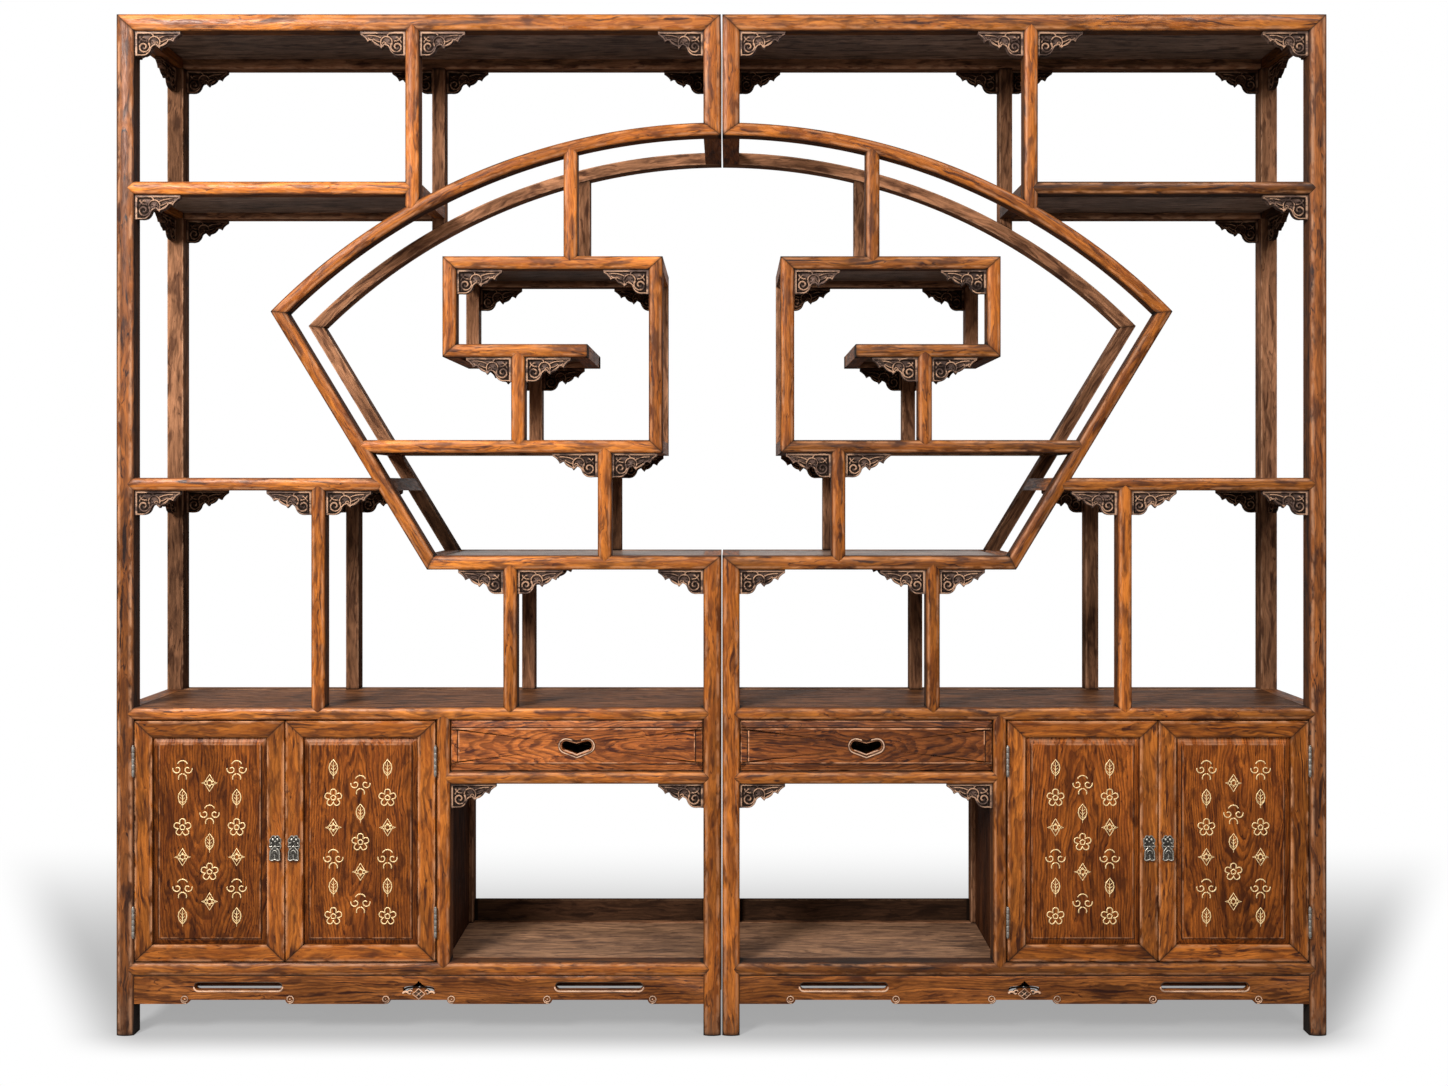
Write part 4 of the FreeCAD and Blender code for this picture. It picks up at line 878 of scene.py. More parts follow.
# A darker copy of the carved finish: painted shade on the rear and side brackets.
painted_shade_finish = wood_finish("painted_shade_hardwood", (0.1, 0.042, 0.022), (0.05, 0.022, 0.013), (0.02, 0.01, 0.007),
                            0.2, 0.35, 0.7, 0.6, 0.03)
bracket_length, bracket_height, bracket_thickness, relief_depth = 0.091, 0.048, 0.012, 0.0034
band_width, rim_width, step_width, seam_width = 0.0052, 0.0031, 0.0008, 0.0011
front_cell, rear_cell, side_cell = 0.0011, 0.0017, 0.0016
front_setback, rear_setback, side_setback = 0.008, 0.02, 0.008
scallops = [(0.11, 1), (0.27, 0.95, 0.36, 0.70), (0.39, 0.62, 0.45, 0.56), (0.53, 0.72), (0.56, 0.63),
            (0.67, 0.54, 0.73, 0.38), (0.76, 0.37), (0.83, 0.44), (0.88, 0.28, 0.98, 0.14)]


def scalloped_edge():
    """The lower edge as (along, down): each curve is the parabola through its start, middle and end."""
    t = np.linspace(0, 1, 8)[1:, None]
    points = [np.array([(0.0, 1.0)])]
    for share in scallops:
        last, p = points[-1][-1], np.array(share).reshape(-1, 2)
        curve = last * (1 - t) * (1 - 2 * t) + 4 * p[0] * t * (1 - t) + p[-1] * t * (2 * t - 1)
        points.append(p if len(p) == 1 else curve)
    return np.concatenate(points) * (bracket_length, bracket_height)


def curl(centre, angles, radii, count=48):
    """A spiral line whose radius changes evenly with its angle, in degrees, turning downwards."""
    angle = np.radians(np.linspace(*angles, count))
    radius = np.linspace(*radii, count)
    return np.stack([centre[0] + radius * np.cos(angle), centre[1] + radius * np.sin(angle)], 1)


def closest(points, line):
    """Distance of each point from the nearest of a line's points."""
    return np.sqrt(((points[:, None] - line[None]) ** 2).sum(-1)).min(1)


def along_line(points, spacing):
    """The same line, divided evenly."""
    run = np.concatenate([[0], np.cumsum(np.linalg.norm(np.diff(points, axis=0), axis=1))])
    at = np.linspace(0, run[-1], int(run[-1] / spacing) + 2)
    return np.stack([np.interp(at, run, points[:, k]) for k in (0, 1)], 1)


def arch(p, q, r):
    """The parabola that starts at p, passes q half way and ends at r."""
    t = np.linspace(0, 1, 20)[:, None]
    p, q, r = np.array((p, q, r)) * 0.001
    return p * (1 - t) * (1 - 2 * t) + 4 * q * t * (1 - t) + r * t * (2 * t - 1)


def carving(points, edge):
    """Height of the carving, from 0 at the ground to 1 at the face. The band and the rim are steps at
    a distance from the edges, each scroll is a half round about its line, and round it the ground lifts."""
    u, v = points.T
    band = np.clip((band_width - np.minimum(u, v)) / step_width + 0.5, 0, 1)
    rest = closest(points, along_line(np.concatenate([edge, [(edge[-1, 0], 0)]]), 0.0005))
    rim = np.clip((rim_width - rest) / step_width + 0.5, 0, 1)
    rim *= 1 - 0.45 * np.clip(1 - rest / seam_width, 0, 1) ** 2
    scrolls = [(curl((0.0175, 0.0305), (-35, 400), (0.0125, 0.0036)), 0.0017),
               (curl((0.038, 0.0215), (152, 402), (0.0112, 0.0112)), 0.0016),
               (curl((0.0432, 0.0245), (40, 380), (0.0062, 0.0018), 30), 0.0013),
               (arch((47, 31), (60, 23), (73, 14.5)), 0.0015), (arch((49, 13), (60, 9.2), (74, 8.2)), 0.0014),
               (arch((49, 21), (56, 19.5), (64, 15)), 0.0012), (arch((33, 5), (35.5, 7), (36, 11)), 0.0015),
               (arch((10, 12), (14, 17), (22, 19)), 0.0013), (arch((9, 21), (12, 16), (17, 12)), 0.0011)]
    height = np.maximum(0.97 * band, 0.9 * rim)
    for line, half in scrolls:
        far = closest(points, along_line(line, 0.0006))
        height = np.maximum(height, np.sqrt(np.clip(1 - (far / half) ** 2, 0, 1)))
        height = np.maximum(height, 0.4 * np.exp(-(far / 0.0032) ** 2))
    for eye in ((0.0178, 0.0305), (0.0262, 0.0222), (0.0335, 0.0205)):
        height -= 0.5 * np.exp(-(((points - eye) ** 2).sum(1) / 0.0013 ** 2))
    return height


def softened(field, times):
    """The field with each value drawn to the mean of its four neighbours, several times."""
    for _ in range(times):
        f = np.pad(field, 1, mode="edge")
        field = 0.2 * (f[1:-1, 1:-1] + f[:-2, 1:-1] + f[2:, 1:-1] + f[1:-1, :-2] + f[1:-1, 2:])
    return field


def carved_board(cell, both_faces):
    """A bracket in its own place (along, inwards, down): rings of points round the board, one behind
    another along the rail. Hollows are darkened where the height is below its surroundings: dust and painted
    shade."""
    edge = scalloped_edge()
    u = np.unique(np.concatenate([np.arange(0, edge[-1, 0], cell), edge[:, 0]]))
    v = np.linspace(0, 1, int(bracket_height / cell)) * np.interp(u, edge[:, 0], edge[:, 1])[:, None]
    u = u[:, None] + 0 * v
    height = carving(np.stack([u.ravel(), v.ravel()], 1), edge).reshape(u.shape)
    rise = (height - softened(height, 3 if cell > 0.0013 else 7)) * 4
    face = np.stack([u, relief_depth * (1 - height), v], -1)
    # Along post and rail a dark line: painted shadow in the recess there.
    seam = np.minimum(u, v) < seam_width
    # Dust and painted shade in the hollows and on the deep ground.
    dirty = np.where(seam, 1, np.clip(-2.6 * rise - 0.1, 0, 1) + 0.1 * (1 - height))
    worn = np.stack([np.where(seam, 0, np.clip(1.6 * rise + 0.2 * height, 0, 1.2)), dirty, 0.5 + 0 * u], -1)
    back = face[:, ::-1] * (1, -1, 1) + (0, bracket_thickness, 0)
    if both_faces:
        return np.concatenate([face, back], 1), np.concatenate([worn, worn[:, ::-1]], 1)
    plain = back[:, [0, -1]]
    plain[..., 1] = bracket_thickness
    return np.concatenate([face, plain], 1), np.concatenate([worn, 0 * plain + (0, 0, 0.5)], 1)


def astride(x, z):
    """The two brackets beside a divider."""
    half = divider_width / 2
    return [(x + half, 1, z), (x - half, -1, z)]


bracket_places = [
    (outer_face, -1, top_under), *astride(upper_divider, top_under), (inner_face, 1, top_under),
    (outer_face, -1, second_under), (box_end - divider_width, -1, box_under),
    (box_start + divider_width, 1, box_under), *astride(short_post, middle_under), *astride(prop, long_under),
    (outer_face, -1, side_under), *astride(outer_divider, side_under), *astride(inner_divider, sill_under),
    (inner_face, 1, sill_under), (partition_start, -1, rail_under), (inner_face, 1, rail_under)]


def hung(made, turn):
    """A bracket put in its place by turn, which takes its three columns to x, y and z."""
    rings, worn = made
    worn = worn * (1, 1, 0) + (0, 0, dice.uniform(0, 1))
    return loft(turn(*np.moveaxis(rings, -1, 0)), rings[..., [0, 2, 1]] + dice.uniform(0, 5, 3), worn)


def bracket_row(cell, y, both_faces):
    made = carved_board(cell, both_faces)
    return [hung(made, lambda u, d, v: np.stack([x + way * u, y + d, z - v], -1))
            for x, way, z in bracket_places]


def side_brackets():
    made = carved_board(side_cell, True)
    outside = outer_side - side_setback
    return [hung(made, lambda u, d, v: np.stack([outside - d, y + way * u, z - v], -1))
            for z in (top_under, second_under, side_under) for y, way in ((front_back, 1), (rear_back, -1))]


for side, sign in sides:
    for label, build, finish in (
        ("front", lambda: bracket_row(front_cell, front_plane + front_setback, False), carved_finish),
        ("rear", lambda: bracket_row(rear_cell, rear_plane - rear_setback, True), painted_shade_finish),
        ("side", side_brackets, painted_shade_finish),
    ):
        piece(f"{side}_{label}_brackets_made", turned(build(), sign), finish, "root",
              [f"{label}_brackets"], sharp=50)

# The aprons
# A scalloped apron hangs under the floor rail, and a plain one under the outer side. The front one is
# pierced by two slots and a cloud with a carved knot in it, and ends its raised stretches in curls.
# A nearly black batten behind it, under the floor rail, is painted shade seen through the top of the slots.
apron_finish = wood_finish("apron_hardwood", (0.36, 0.118, 0.025), (0.17, 0.05, 0.011), (0.036, 0.01, 0.005),
                           0.6, 0.65, 0.7, 0.38, 0.12, along=(0, 0, 0))
apron_front, apron_middle, apron_low = front_plane + 0.005, (inner_face + outer_face) / 2, floor_under - 0.056


def ogee(shape):
    """The piercing's plain cap is drawn up to a point: its height falls from the middle by a power of e
    of the distance, and its shoulders are lowered in the same measure."""
    cap_low, cap_high, shoulder_low, shoulder_high = 0.0985, 0.1035, 0.0902, 0.0992

    def off(vertex):
        return abs(abs(vertex.co.x) - apron_middle)

    cap = [edge for edge in shape.edges if edge.calc_length() > 0.01
           and all(off(v) < 0.0225 and cap_low < v.co.z < cap_high for v in edge.verts)]
    bmesh.ops.subdivide_edges(shape, edges=cap, cuts=7)
    for vertex in shape.verts:
        if off(vertex) < 0.0222 and cap_low < vertex.co.z < cap_high:
            vertex.co.z = 0.0951 + 0.0124 * math.exp(-off(vertex) / 0.0072)
        elif off(vertex) < 0.0315 and shoulder_low < vertex.co.z < shoulder_high:
            vertex.co.z = 0.09 + (vertex.co.z - 0.09) * 0.58


def apron(side):
    """A copy of the plain solid: its loose faces joined, its piercing drawn up, its edges rounded over."""
    name, node_name = f"{side}_aprons_made", f"{side}_aprons"
    mesh = bpy.data.meshes.new(name)
    shape = bmesh.new()
    shape.from_mesh(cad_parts[node_name].data)
    bmesh.ops.remove_doubles(shape, verts=shape.verts, dist=1e-6)
    bmesh.ops.dissolve_limit(shape, angle_limit=math.radians(1), verts=shape.verts, edges=shape.edges)
    ogee(shape)
    shape.to_mesh(mesh)
    shape.free()
    mesh.materials.clear()
    mesh.shade_smooth()
    made = placed(name, mesh, apron_finish, "root", [node_name])
    bevel = made.modifiers.new("eased", "BEVEL")
    bevel.width, bevel.segments, bevel.limit_method = 0.0012, 2, "ANGLE"
    bevel.angle_limit, bevel.harden_normals = math.radians(30), True


def joined(shell, count):
    """The same skin, whose last ring is taken back to its first one, so that count points are left."""
    kept = {key: shell[key][:count] for key in ("points", "grain", "wear")}
    return {**shell, **kept, "quads": shell["quads"] % count}


def bead(path, y, radius, closed=False, sides_of_bead=8, worn=0.9, grime_and_shade=0.0):
    """A half-sunk moulding: a round section carried along a flat line (x, z), closed on itself or with
    two ends that close to a point."""
    path = np.asarray(path, float)
    way = np.roll(path, -1, 0) - np.roll(path, 1, 0)
    if not closed:
        way[0], way[-1] = path[1] - path[0], path[-1] - path[-2]
    way /= np.linalg.norm(way, axis=1)[:, None]
    round_angle = np.linspace(0, 2 * math.pi, sides_of_bead, endpoint=False)
    size = np.full(len(path), radius)
    if not closed:
        size[0] = size[-1] = radius * 0.45
    out = size[:, None] * np.cos(round_angle)
    rings = np.stack([path[:, :1] - way[:, 1:] * out, y - size[:, None] * np.sin(round_angle),
                      path[:, 1:] + way[:, :1] * out], -1)
    if closed:
        rings = np.concatenate([rings, rings[:1]])
    rubbed = worn * np.clip(np.sin(round_angle), 0, 1)
    # The sunk half of the round is darkened, and a bead's last argument darkens all of it: painted shade,
    # where the apron's carving uses it.
    dirty = np.maximum(0.8 * np.clip(-np.sin(round_angle) + 0.25, 0, 1), grime_and_shade)
    grain = rings[..., [0, 2, 1]] + dice.uniform(0, 5, 3)
    shell = loft(rings, grain, weathered(rings, rubbed, dirty), close=not closed)
    return joined(shell, len(path) * sides_of_bead) if closed else shell


def outlined(path, radius):
    """A pale line of carving on the apron, with a painted shadow line on both sides of it."""
    return [bead(path, apron_front + 0.0012, radius + 0.0009, worn=0, grime_and_shade=1),
            bead(path, apron_front - 0.0009, radius, worn=1.5)]


def dome(x, y, z, radius, rise, count=14):
    """A low boss: half an ellipse turned about the line that looks to the front."""
    share = np.array([0, 0.25, 0.5, 0.75, 1.0]) * math.pi / 2
    angle = np.linspace(0, 2 * math.pi, count, endpoint=False)
    size = np.concatenate([[radius * 0.7], radius * np.cos(share * 0.93)])
    out = np.concatenate([[-rise * 0.5], rise * np.sin(share)])
    rings = np.stack([x + size[:, None] * np.cos(angle), y - out[:, None] + 0 * angle,
                      z + size[:, None] * np.sin(angle)], -1)
    proud = np.clip(out / rise, 0, 1)[:, None]
    return loft(rings, rings[..., [0, 2, 1]], weathered(rings, 1.4 * proud, 0.7 * (1 - proud)))


def mitres(outline):
    """For each corner of a closed line, the move that shrinks both of its sides by one."""
    edge = np.roll(outline, -1, 0) - outline
    edge /= np.linalg.norm(edge, axis=1)[:, None]
    out = np.stack([-edge[:, 1], edge[:, 0]], 1)
    before = np.roll(out, 1, 0)
    return (out + before) / (1 + (out * before).sum(1))[:, None]


def stepped(outline, steps, along="x", tone=0.5, offset=(0, 0, 0), lean=0.0):
    """A board shaped in steps: its outline (x, z) shrinks by each step's inset, towards the inside,
    at that step's depth. Steps: inset, depth, rubbed, and dirty, which in places is painted shade."""
    outline, steps = np.asarray(outline, float), np.asarray(steps, float)
    flat = outline[None] + steps[:, :1, None] * mitres(outline)[None]
    rings = standing(flat, steps[:, 1:2])
    middle = outline.mean(0)
    local = rings - (middle[0], steps[:, 1].min(), middle[1])
    grain = local[..., [0, 2, 1]] if along == "x" else local[..., [2, 0, 1]]
    grain = grain + grain[..., :1] * (0, 0, lean) + offset
    return loft(rings, grain, weathered(rings, steps[:, 2:3], steps[:, 3:4], tone))


def apron_carving():
    """Curls at the pendants with painted shadow lines, painted shade over the slots' ends and a painted
    highlight under them, a painted shadow under the piercing's top, the knot in it on a ground of painted
    shade with four ties, the hooks beside it, and a painted shadow line along the seam under the floor rail."""
    half, slot_drop, slot_round, slot_half = (outer_face - inner_face) / 2, 0.0143, 0.00735, 0.085
    shells = []
    for share in (0.116, 0.452, 0.821):
        for way in (-1, 1):
            turn = -way if share == 0.821 else way
            x, z = apron_middle + way * share * half, apron_low + 0.0095
            line = curl((0, 0), (70, 520), (0.0078, 0.0042), 44) * (turn, -1) + (x, z)
            shells += outlined(line, 0.001) + [dome(x, apron_front, z, 0.0017, 0.0014)]
    for way in (-1, 1):
        x, z = apron_middle + way * 0.634 * half, floor_under - slot_drop - slot_round
        straight = slot_half - slot_round
        # Painted shade: a dark bead over each slot's ends. Painted highlight: a pale bead under them.
        for angles, y, reach, radius, worn, grime_and_shade in (
                ((0, 90), 0.0007, 0.0083, 0.0012, 0, 1), ((0, -90), 0.0009, 0.0096, 0.002, 1, 0)):
            right = curl((x + straight, z), angles, (reach, reach), 7)
            left = curl((x - straight, z), (angles[1], 2 * angles[1]), (reach, reach), 7)
            line = np.concatenate([right, left])
            shells.append(bead(line, apron_front + y, radius, worn=worn, grime_and_shade=grime_and_shade))
    # Painted shadow: dark beads under the piercing's top edge.
    run = np.linspace(0, 1, 13)
    height = 0.0905 + 0.004 * np.exp(-run / 0.3) - 0.005 * run ** 8
    shells += [bead(np.stack([apron_middle + way * 0.0305 * run, height], 1), apron_front + 0.008, 0.0018,
                    worn=0, grime_and_shade=1) for way in (-1, 1)]
    knot = np.array([(0, 0.0105), (0.0125, 0), (0, -0.0105), (-0.0125, 0)]) + (apron_middle, 0.081)
    # The knot's ground is nearly black: painted shade between its pale lines.
    ground = [(-0.0022, apron_front + 0.004, 0, 1), (-0.0022, apron_front - 0.0002, 0, 1)]
    shells.append(stepped(knot, ground))
    shells.append(bead(knot, apron_front - 0.0004, 0.0011, closed=True, worn=1.2))
    for first, second, third, fourth in ((0, 1, 3, 2), (1, 2, 0, 3)):
        ends = [(knot[first] + knot[second]) / 2, (knot[third] + knot[fourth]) / 2]
        shells.append(bead(np.linspace(*ends, 4), apron_front - 0.0004, 0.0008, worn=0.8))
    for way in (-1, 1):
        hook = curl((0, 0), (200, 500), (0.005, 0.0022), 24) * (way, -1)
        volute = curl((0, 0), (215, 330), (0.0075, 0.006), 12) * (way, -1)
        shells += outlined(hook + (apron_middle + way * 0.017, 0.084), 0.0012)
        # The volutes are very pale: a painted highlight.
        shells.append(bead(volute + (apron_middle + way * 0.026, 0.0785), apron_front, 0.0022, worn=2.5))
    # A painted shadow line under the floor rail.
    seam = [(inner_face, floor_under - 0.0006), (outer_face, floor_under - 0.0006)]
    return shells + [bead(seam, apron_front + 0.0003, 0.0015, worn=0, grime_and_shade=1)]


for side, sign in sides:
    apron(side)
    # The batten is painted shade seen through the slots.
    batten = board(inner_face, outer_face, apron_front + 0.014, front_back, 0.0915, floor_under)
    piece(f"{side}_apron_batten", turned([batten], sign), painted_shade_case_finish, "root")
    piece(f"{side}_apron_carving", turned(apron_carving(), sign), worn_and_highlight_finish, "root",
          sharp=60)

# The doors
# Each door is a mitred frame round a raised panel of figured board. The panel floats in a groove. A
# broad bevel falls from its field to the frame, with a fine line cut where the two meet.
door_finish = wood_finish("door_hardwood", (0.43, 0.13, 0.02), (0.225, 0.058, 0.009), (0.05, 0.014, 0.006),
                          0.5, 0.65, 1.1, 0.38, 0.11)
panel_finish = wood_finish("panel_hardwood", (0.275, 0.075, 0.011), (0.14, 0.034, 0.006),
                           (0.033, 0.008, 0.003), 0.7, 0.5, 0.8, 0.38, 0.09)
door_y, door_thickness, door_low, door_high = front_plane + 0.001, 0.022, 0.1454, 0.6156
door_spans = {"inner": (0.5604, 0.8533), "outer": (0.8557, 1.1486)}
stile_width, door_rail_width, door_bevel = 0.034, 0.032, 0.0135


def door_frame(start, end):
    x = (start, start + stile_width, end - stile_width, end)
    z = (door_low, door_low + door_rail_width, door_high - door_rail_width, door_high)
    cuts = [((x[0], z[0]), (x[1], z[1])), ((x[0], z[3]), (x[1], z[2])), ((x[3], z[3]), (x[2], z[2])),
            ((x[3], z[0]), (x[2], z[1]))]
    stile = flat_profile(stile_width, door_thickness, 0.0016)
    rail = flat_profile(door_rail_width, door_thickness, 0.0016)
    return [member(cuts[k], cuts[(k + 1) % 4], (stile, rail)[k % 2], door_y, 1, False) for k in range(4)]


def door_panel(start, end):
    x0, x1 = start + stile_width, end - stile_width
    z0, z1 = door_low + door_rail_width, door_high - door_rail_width
    edge, face = door_y + 0.008, door_y + 0.002
    steps = [(-0.004, edge + 0.006, 0, 0), (-0.004, edge, 0, 0), (0, edge, 0, 1),
             (0.0014, edge - 0.0005, 0, 0.6), (0.003, edge - 0.0012, 0, 0.12),
             (door_bevel - 0.0036, face + 0.0018, 0, 0.1),
             (door_bevel - 0.0028, face + 0.0022, 0, 0.9), (door_bevel - 0.0014, face + 0.0018, 0, 0.9),
             (door_bevel - 0.0008, face + 0.0006, 0.5, 0), (door_bevel + 0.0002, face, 0.7, 0),
             (door_bevel + 0.0012, face, 0.4, 0), (door_bevel + 0.0022, face, 0, 0)]
    outline = [(x0, z0), (x1, z0), (x1, z1 - 0.018), (x1, z1), (x0, z1), (x0, z1 - 0.018)]
    offset = (dice.uniform(0, 9), dice.uniform(-0.02, 0.02), dice.uniform(0.012, 0.03))
    tone, lean = dice.uniform(0.3, 0.7), dice.choice((-1, 1)) * dice.uniform(0.1, 0.2)
    made = stepped(outline, steps, "z", tone, offset, lean)
    # Painted highlight: the panel's top bevel is paler than its sides and bottom, as if lit from above.
    made["wear"].reshape(len(steps), len(outline), 3)[3:9, 3:5] = (0.5, 0, 1.3)
    return made


# One plank of each outer door is of another tone, and the right unit's panels are painted paler towards their
# top, a painted highlight.
plank_tones = {("left", "outer"): (0, 0, -0.8, 0), ("right", "outer"): (1.2, 0, 0, 0)}
for side, sign in sides:
    for door, span in door_spans.items():
        body = f"{side}_{door}_door"
        shells = turned(door_frame(*span), sign)
        for shell, tone in zip(shells, plank_tones.get((side, door), ())):
            shell["wear"][:, 2] += tone
        # Painted shade: the lower edge of the door's top rail is darkened.
        shells[1]["wear"][shells[1]["points"][:, 2] < door_high - door_rail_width + 0.004, :2] = (0, 0.6)
        piece(f"{body}_frame_made", shells, door_finish, body, [f"{body}_frame"])
        panel = door_panel(*span)
        if side == "right":
            # Painted highlight: the right unit's panels grow paler towards their top.
            panel["wear"][:, 2] += 1.6 * (panel["points"][:, 2] - door_low) / (door_high - door_low)
        piece(f"{body}_panel_made", turned([panel], sign), panel_finish, body,
              [f"{body}_panel"])


# The gilt ornament
# Three columns of small flowers, leaves, clouds and lozenges are cut in each panel and filled with
# gold, which stands a hair proud of the wood.
def gilding():
    made, tree = material("gilding")
    place = node(tree, "ShaderNodeTexCoord").outputs["Object"]
    thin = spread(tree, noise(tree, place, (420, 420, 420), 3, 0.6), 0.36, 0.6)
    colour = tint(tree, thin, (0.6, 0.38, 0.15, 1), (0.95, 0.72, 0.38, 1))
    coat(tree, colour, spread(tree, thin, 0, 1, 0.6, 0.36), thin, 0.4, 0.0002, {"Metallic": 0.2})
    return made


gold = gilding()
motif_size, column_pitch, row_pitch, middle_height = 0.0168, 0.053, 0.058, 0.3785


def petals(count, radius, depth, points=60):
    """A closed flower line: the radius is drawn in between the petals by a power of a half wave."""
    angle = np.linspace(0, 2 * math.pi, points, endpoint=False)
    size = radius * (1 - depth * (1 - np.abs(np.cos(angle * count / 2))) ** 1.5)
    return np.stack([size * np.sin(angle), size * np.cos(angle)], 1)


def whole(half):
    """A closed line from its right half, which starts and ends on the middle line."""
    half = np.asarray(half, float)
    return np.concatenate([half, half[1:-1][::-1] * (-1, 1)])


def motif(kind):
    """Lines of one ornament about its middle, each with whether it closes on itself."""
    r = motif_size
    if kind == "flower":
        return [(petals(5, r, 0.55), True), (petals(5, r * 0.3, 0.2, 20), True)]
    if kind == "leaf":
        leaf = whole([(0, 1), (0.42, 0.45), (0.5, 0), (0.36, -0.5), (0, -0.9)])
        veins = [[(0, 0.15 - 0.38 * k), (way * 0.3, 0.42 - 0.38 * k)] for k in (0, 1, 2) for way in (-1, 1)]
        stem = [(0, 0.7), (0, 0), (0, -1.2)]
        return [(leaf * r, True)] + [(np.array(line) * r, False) for line in [stem] + veins]
    if kind == "cloud":
        lines = [curl((0, 0), (200, 340), (r * 0.62, r * 0.62), 20) * (1, -1) + (0, r * 0.25)]
        for angles, radii, count, flip, middle in (
                ((-20, 330), (r * 0.52, r * 0.16), 30, -1, (r * 0.62, -r * 0.15)),
                ((90, 200), (r * 0.55, r * 0.45), 14, 1, (0, -r * 1.2))):
            lines += [curl((0, 0), angles, radii, count) * (way, flip) + (way * middle[0], middle[1])
                      for way in (-1, 1)]
        return [(line, False) for line in lines]
    lozenge = np.array([(0, 1), (0.62, 0), (0, -1), (-0.62, 0)]) * r
    return [(lozenge, True), (lozenge * 0.5, True), (lozenge * (1.5, 0.3), True)]


def gilt(start, end, first):
    middle, shells = (start + end) / 2, []
    kinds = ("flower", "leaf", "cloud", "lozenge")
    for column, x in enumerate((middle - column_pitch, middle, middle + column_pitch)):
        rows = 6 - column % 2
        for row in range(rows):
            z = middle_height + (row - (rows - 1) / 2) * row_pitch
            for line, closed_line in motif(kinds[(column * 2 + row + first) % 4]):
                shells.append(bead(line + (x, z), door_y + 0.0022, 0.00125, closed_line, 6))
    return shells


for side, sign in sides:
    for first, (door, span) in enumerate(door_spans.items()):
        body = f"{side}_{door}_door"
        piece(f"{body}_gilding", turned(gilt(*span, first), sign), gold, body, sharp=80)


# The hinges
# Slim steel butt hinges with turned finials stand in front of the gap beside each door. The leaves are
# let into door and post, and the knuckles of the door turn between those of the post.
def metal_finish(name, dark, light, rough, scale, metallic):
    """Old metal: a dark patina, rubbed to bare metal in patches and on the raised parts."""
    made, tree = material(name)
    place = node(tree, "ShaderNodeTexCoord").outputs["Object"]
    wear = node(tree, "ShaderNodeAttribute", attribute_name="wear").outputs["Vector"]
    wear = node(tree, "ShaderNodeSeparateXYZ", {0: wear}).outputs
    patch = noise(tree, place, (scale, scale, scale), 4, 0.6)
    bare = add(tree, spread(tree, patch, 0.45, 0.68, 0, 0.55), times(tree, wear[0], 0.6), clamp=True)
    colour = tint(tree, bare, (*dark, 1), (*light, 1))
    colour = tint(tree, times(tree, wear[1], 0.75), colour, (0.012, 0.01, 0.008, 1))
    roughness = spread(tree, bare, 0, 1, rough + 0.15, rough)
    coat(tree, colour, roughness, patch, 0.5, 0.0003, {"Metallic": metallic})
    return made


steel = metal_finish("hinge_steel", (0.07, 0.06, 0.05), (0.36, 0.33, 0.29), 0.35, 300, 0.7)
hinge_length, knuckle_gap, hinge_y = 0.057, 0.0003, front_plane - 0.0023
hinge_levels = (door_low + 0.049, door_high - 0.049 - hinge_length)
hinge_axes = {"inner": (0.5592, -1), "outer": (1.1498, 1)}
knuckle_radius, knuckle_ease, leaf_gap, leaf_thickness, leaf_width = 0.003, 0.0006, 0.0002, 0.001, 0.018
finial = [(0, 0.0018, 0), (0.0004, 0.0022, 0.6), (0.0011, 0.0019, 0.4), (0.0015, 0.0022, 1),
          (0.0021, 0.0018, 1), (0.0025, 0.0007, 1)]


def spun(x, y, profile, count=16):
    """A turned part: its profile (height, radius, worn) carried round an upright axis."""
    z, radius, worn = np.array(profile).T[..., None]
    angle = np.linspace(0, 2 * math.pi, count, endpoint=False)
    rings = np.stack([x + radius * np.cos(angle), y + radius * np.sin(angle), z + 0 * angle], -1)
    return loft(rings, rings, weathered(rings, worn, np.clip(0.4 - worn, 0, 1)))


def hinge(axis, way, fixed_half):
    """The post's or the door's half of both hinges at one axis: leaves, knuckles, and the post's finials."""
    shells, length, r, e = [], (hinge_length - 4 * knuckle_gap) / 5, knuckle_radius, knuckle_ease
    leaf_way = way if fixed_half else -way
    near, far = sorted((axis + leaf_way * leaf_gap, axis + leaf_way * (leaf_gap + leaf_thickness)))
    rounding = [(0, r - e, 0), (e * 0.4, r - e * 0.3, 0.5), (e, r, 0.9)]
    for z in hinge_levels:
        shells.append(board(near, far, door_y, door_y + leaf_width, z, z + hinge_length, "z", 0.0002))
        for k in ((0, 2, 4) if fixed_half else (1, 3)):
            low = z + k * (length + knuckle_gap)
            high = low + length
            shells.append(spun(axis, hinge_y, [(low + a, b, c) for a, b, c in rounding]
                               + [(high - a, b, c) for a, b, c in rounding[::-1]]))
            shells.append(board(near, far, hinge_y, door_y, low, high, "z", 0.0002))
        for foot, up in ((z, -1), (z + hinge_length, 1)) if fixed_half else ():
            shells.append(spun(axis, hinge_y, [(foot + up * a, b, c) for a, b, c in finial]))
    return shells


for side, sign in sides:
    shells = [shell for axis, way in hinge_axes.values() for shell in hinge(axis, way, True)]
    piece(f"{side}_hinge_leaves_made", turned(shells, sign), steel, "root",
          ["hinge_post_leaves"])
    for door, (axis, way) in hinge_axes.items():
        body = f"{side}_{door}_door"
        piece(f"{body}_hinge_leaves", turned(hinge(axis, way, False), sign), steel, body,
              [f"{body}_fittings"])

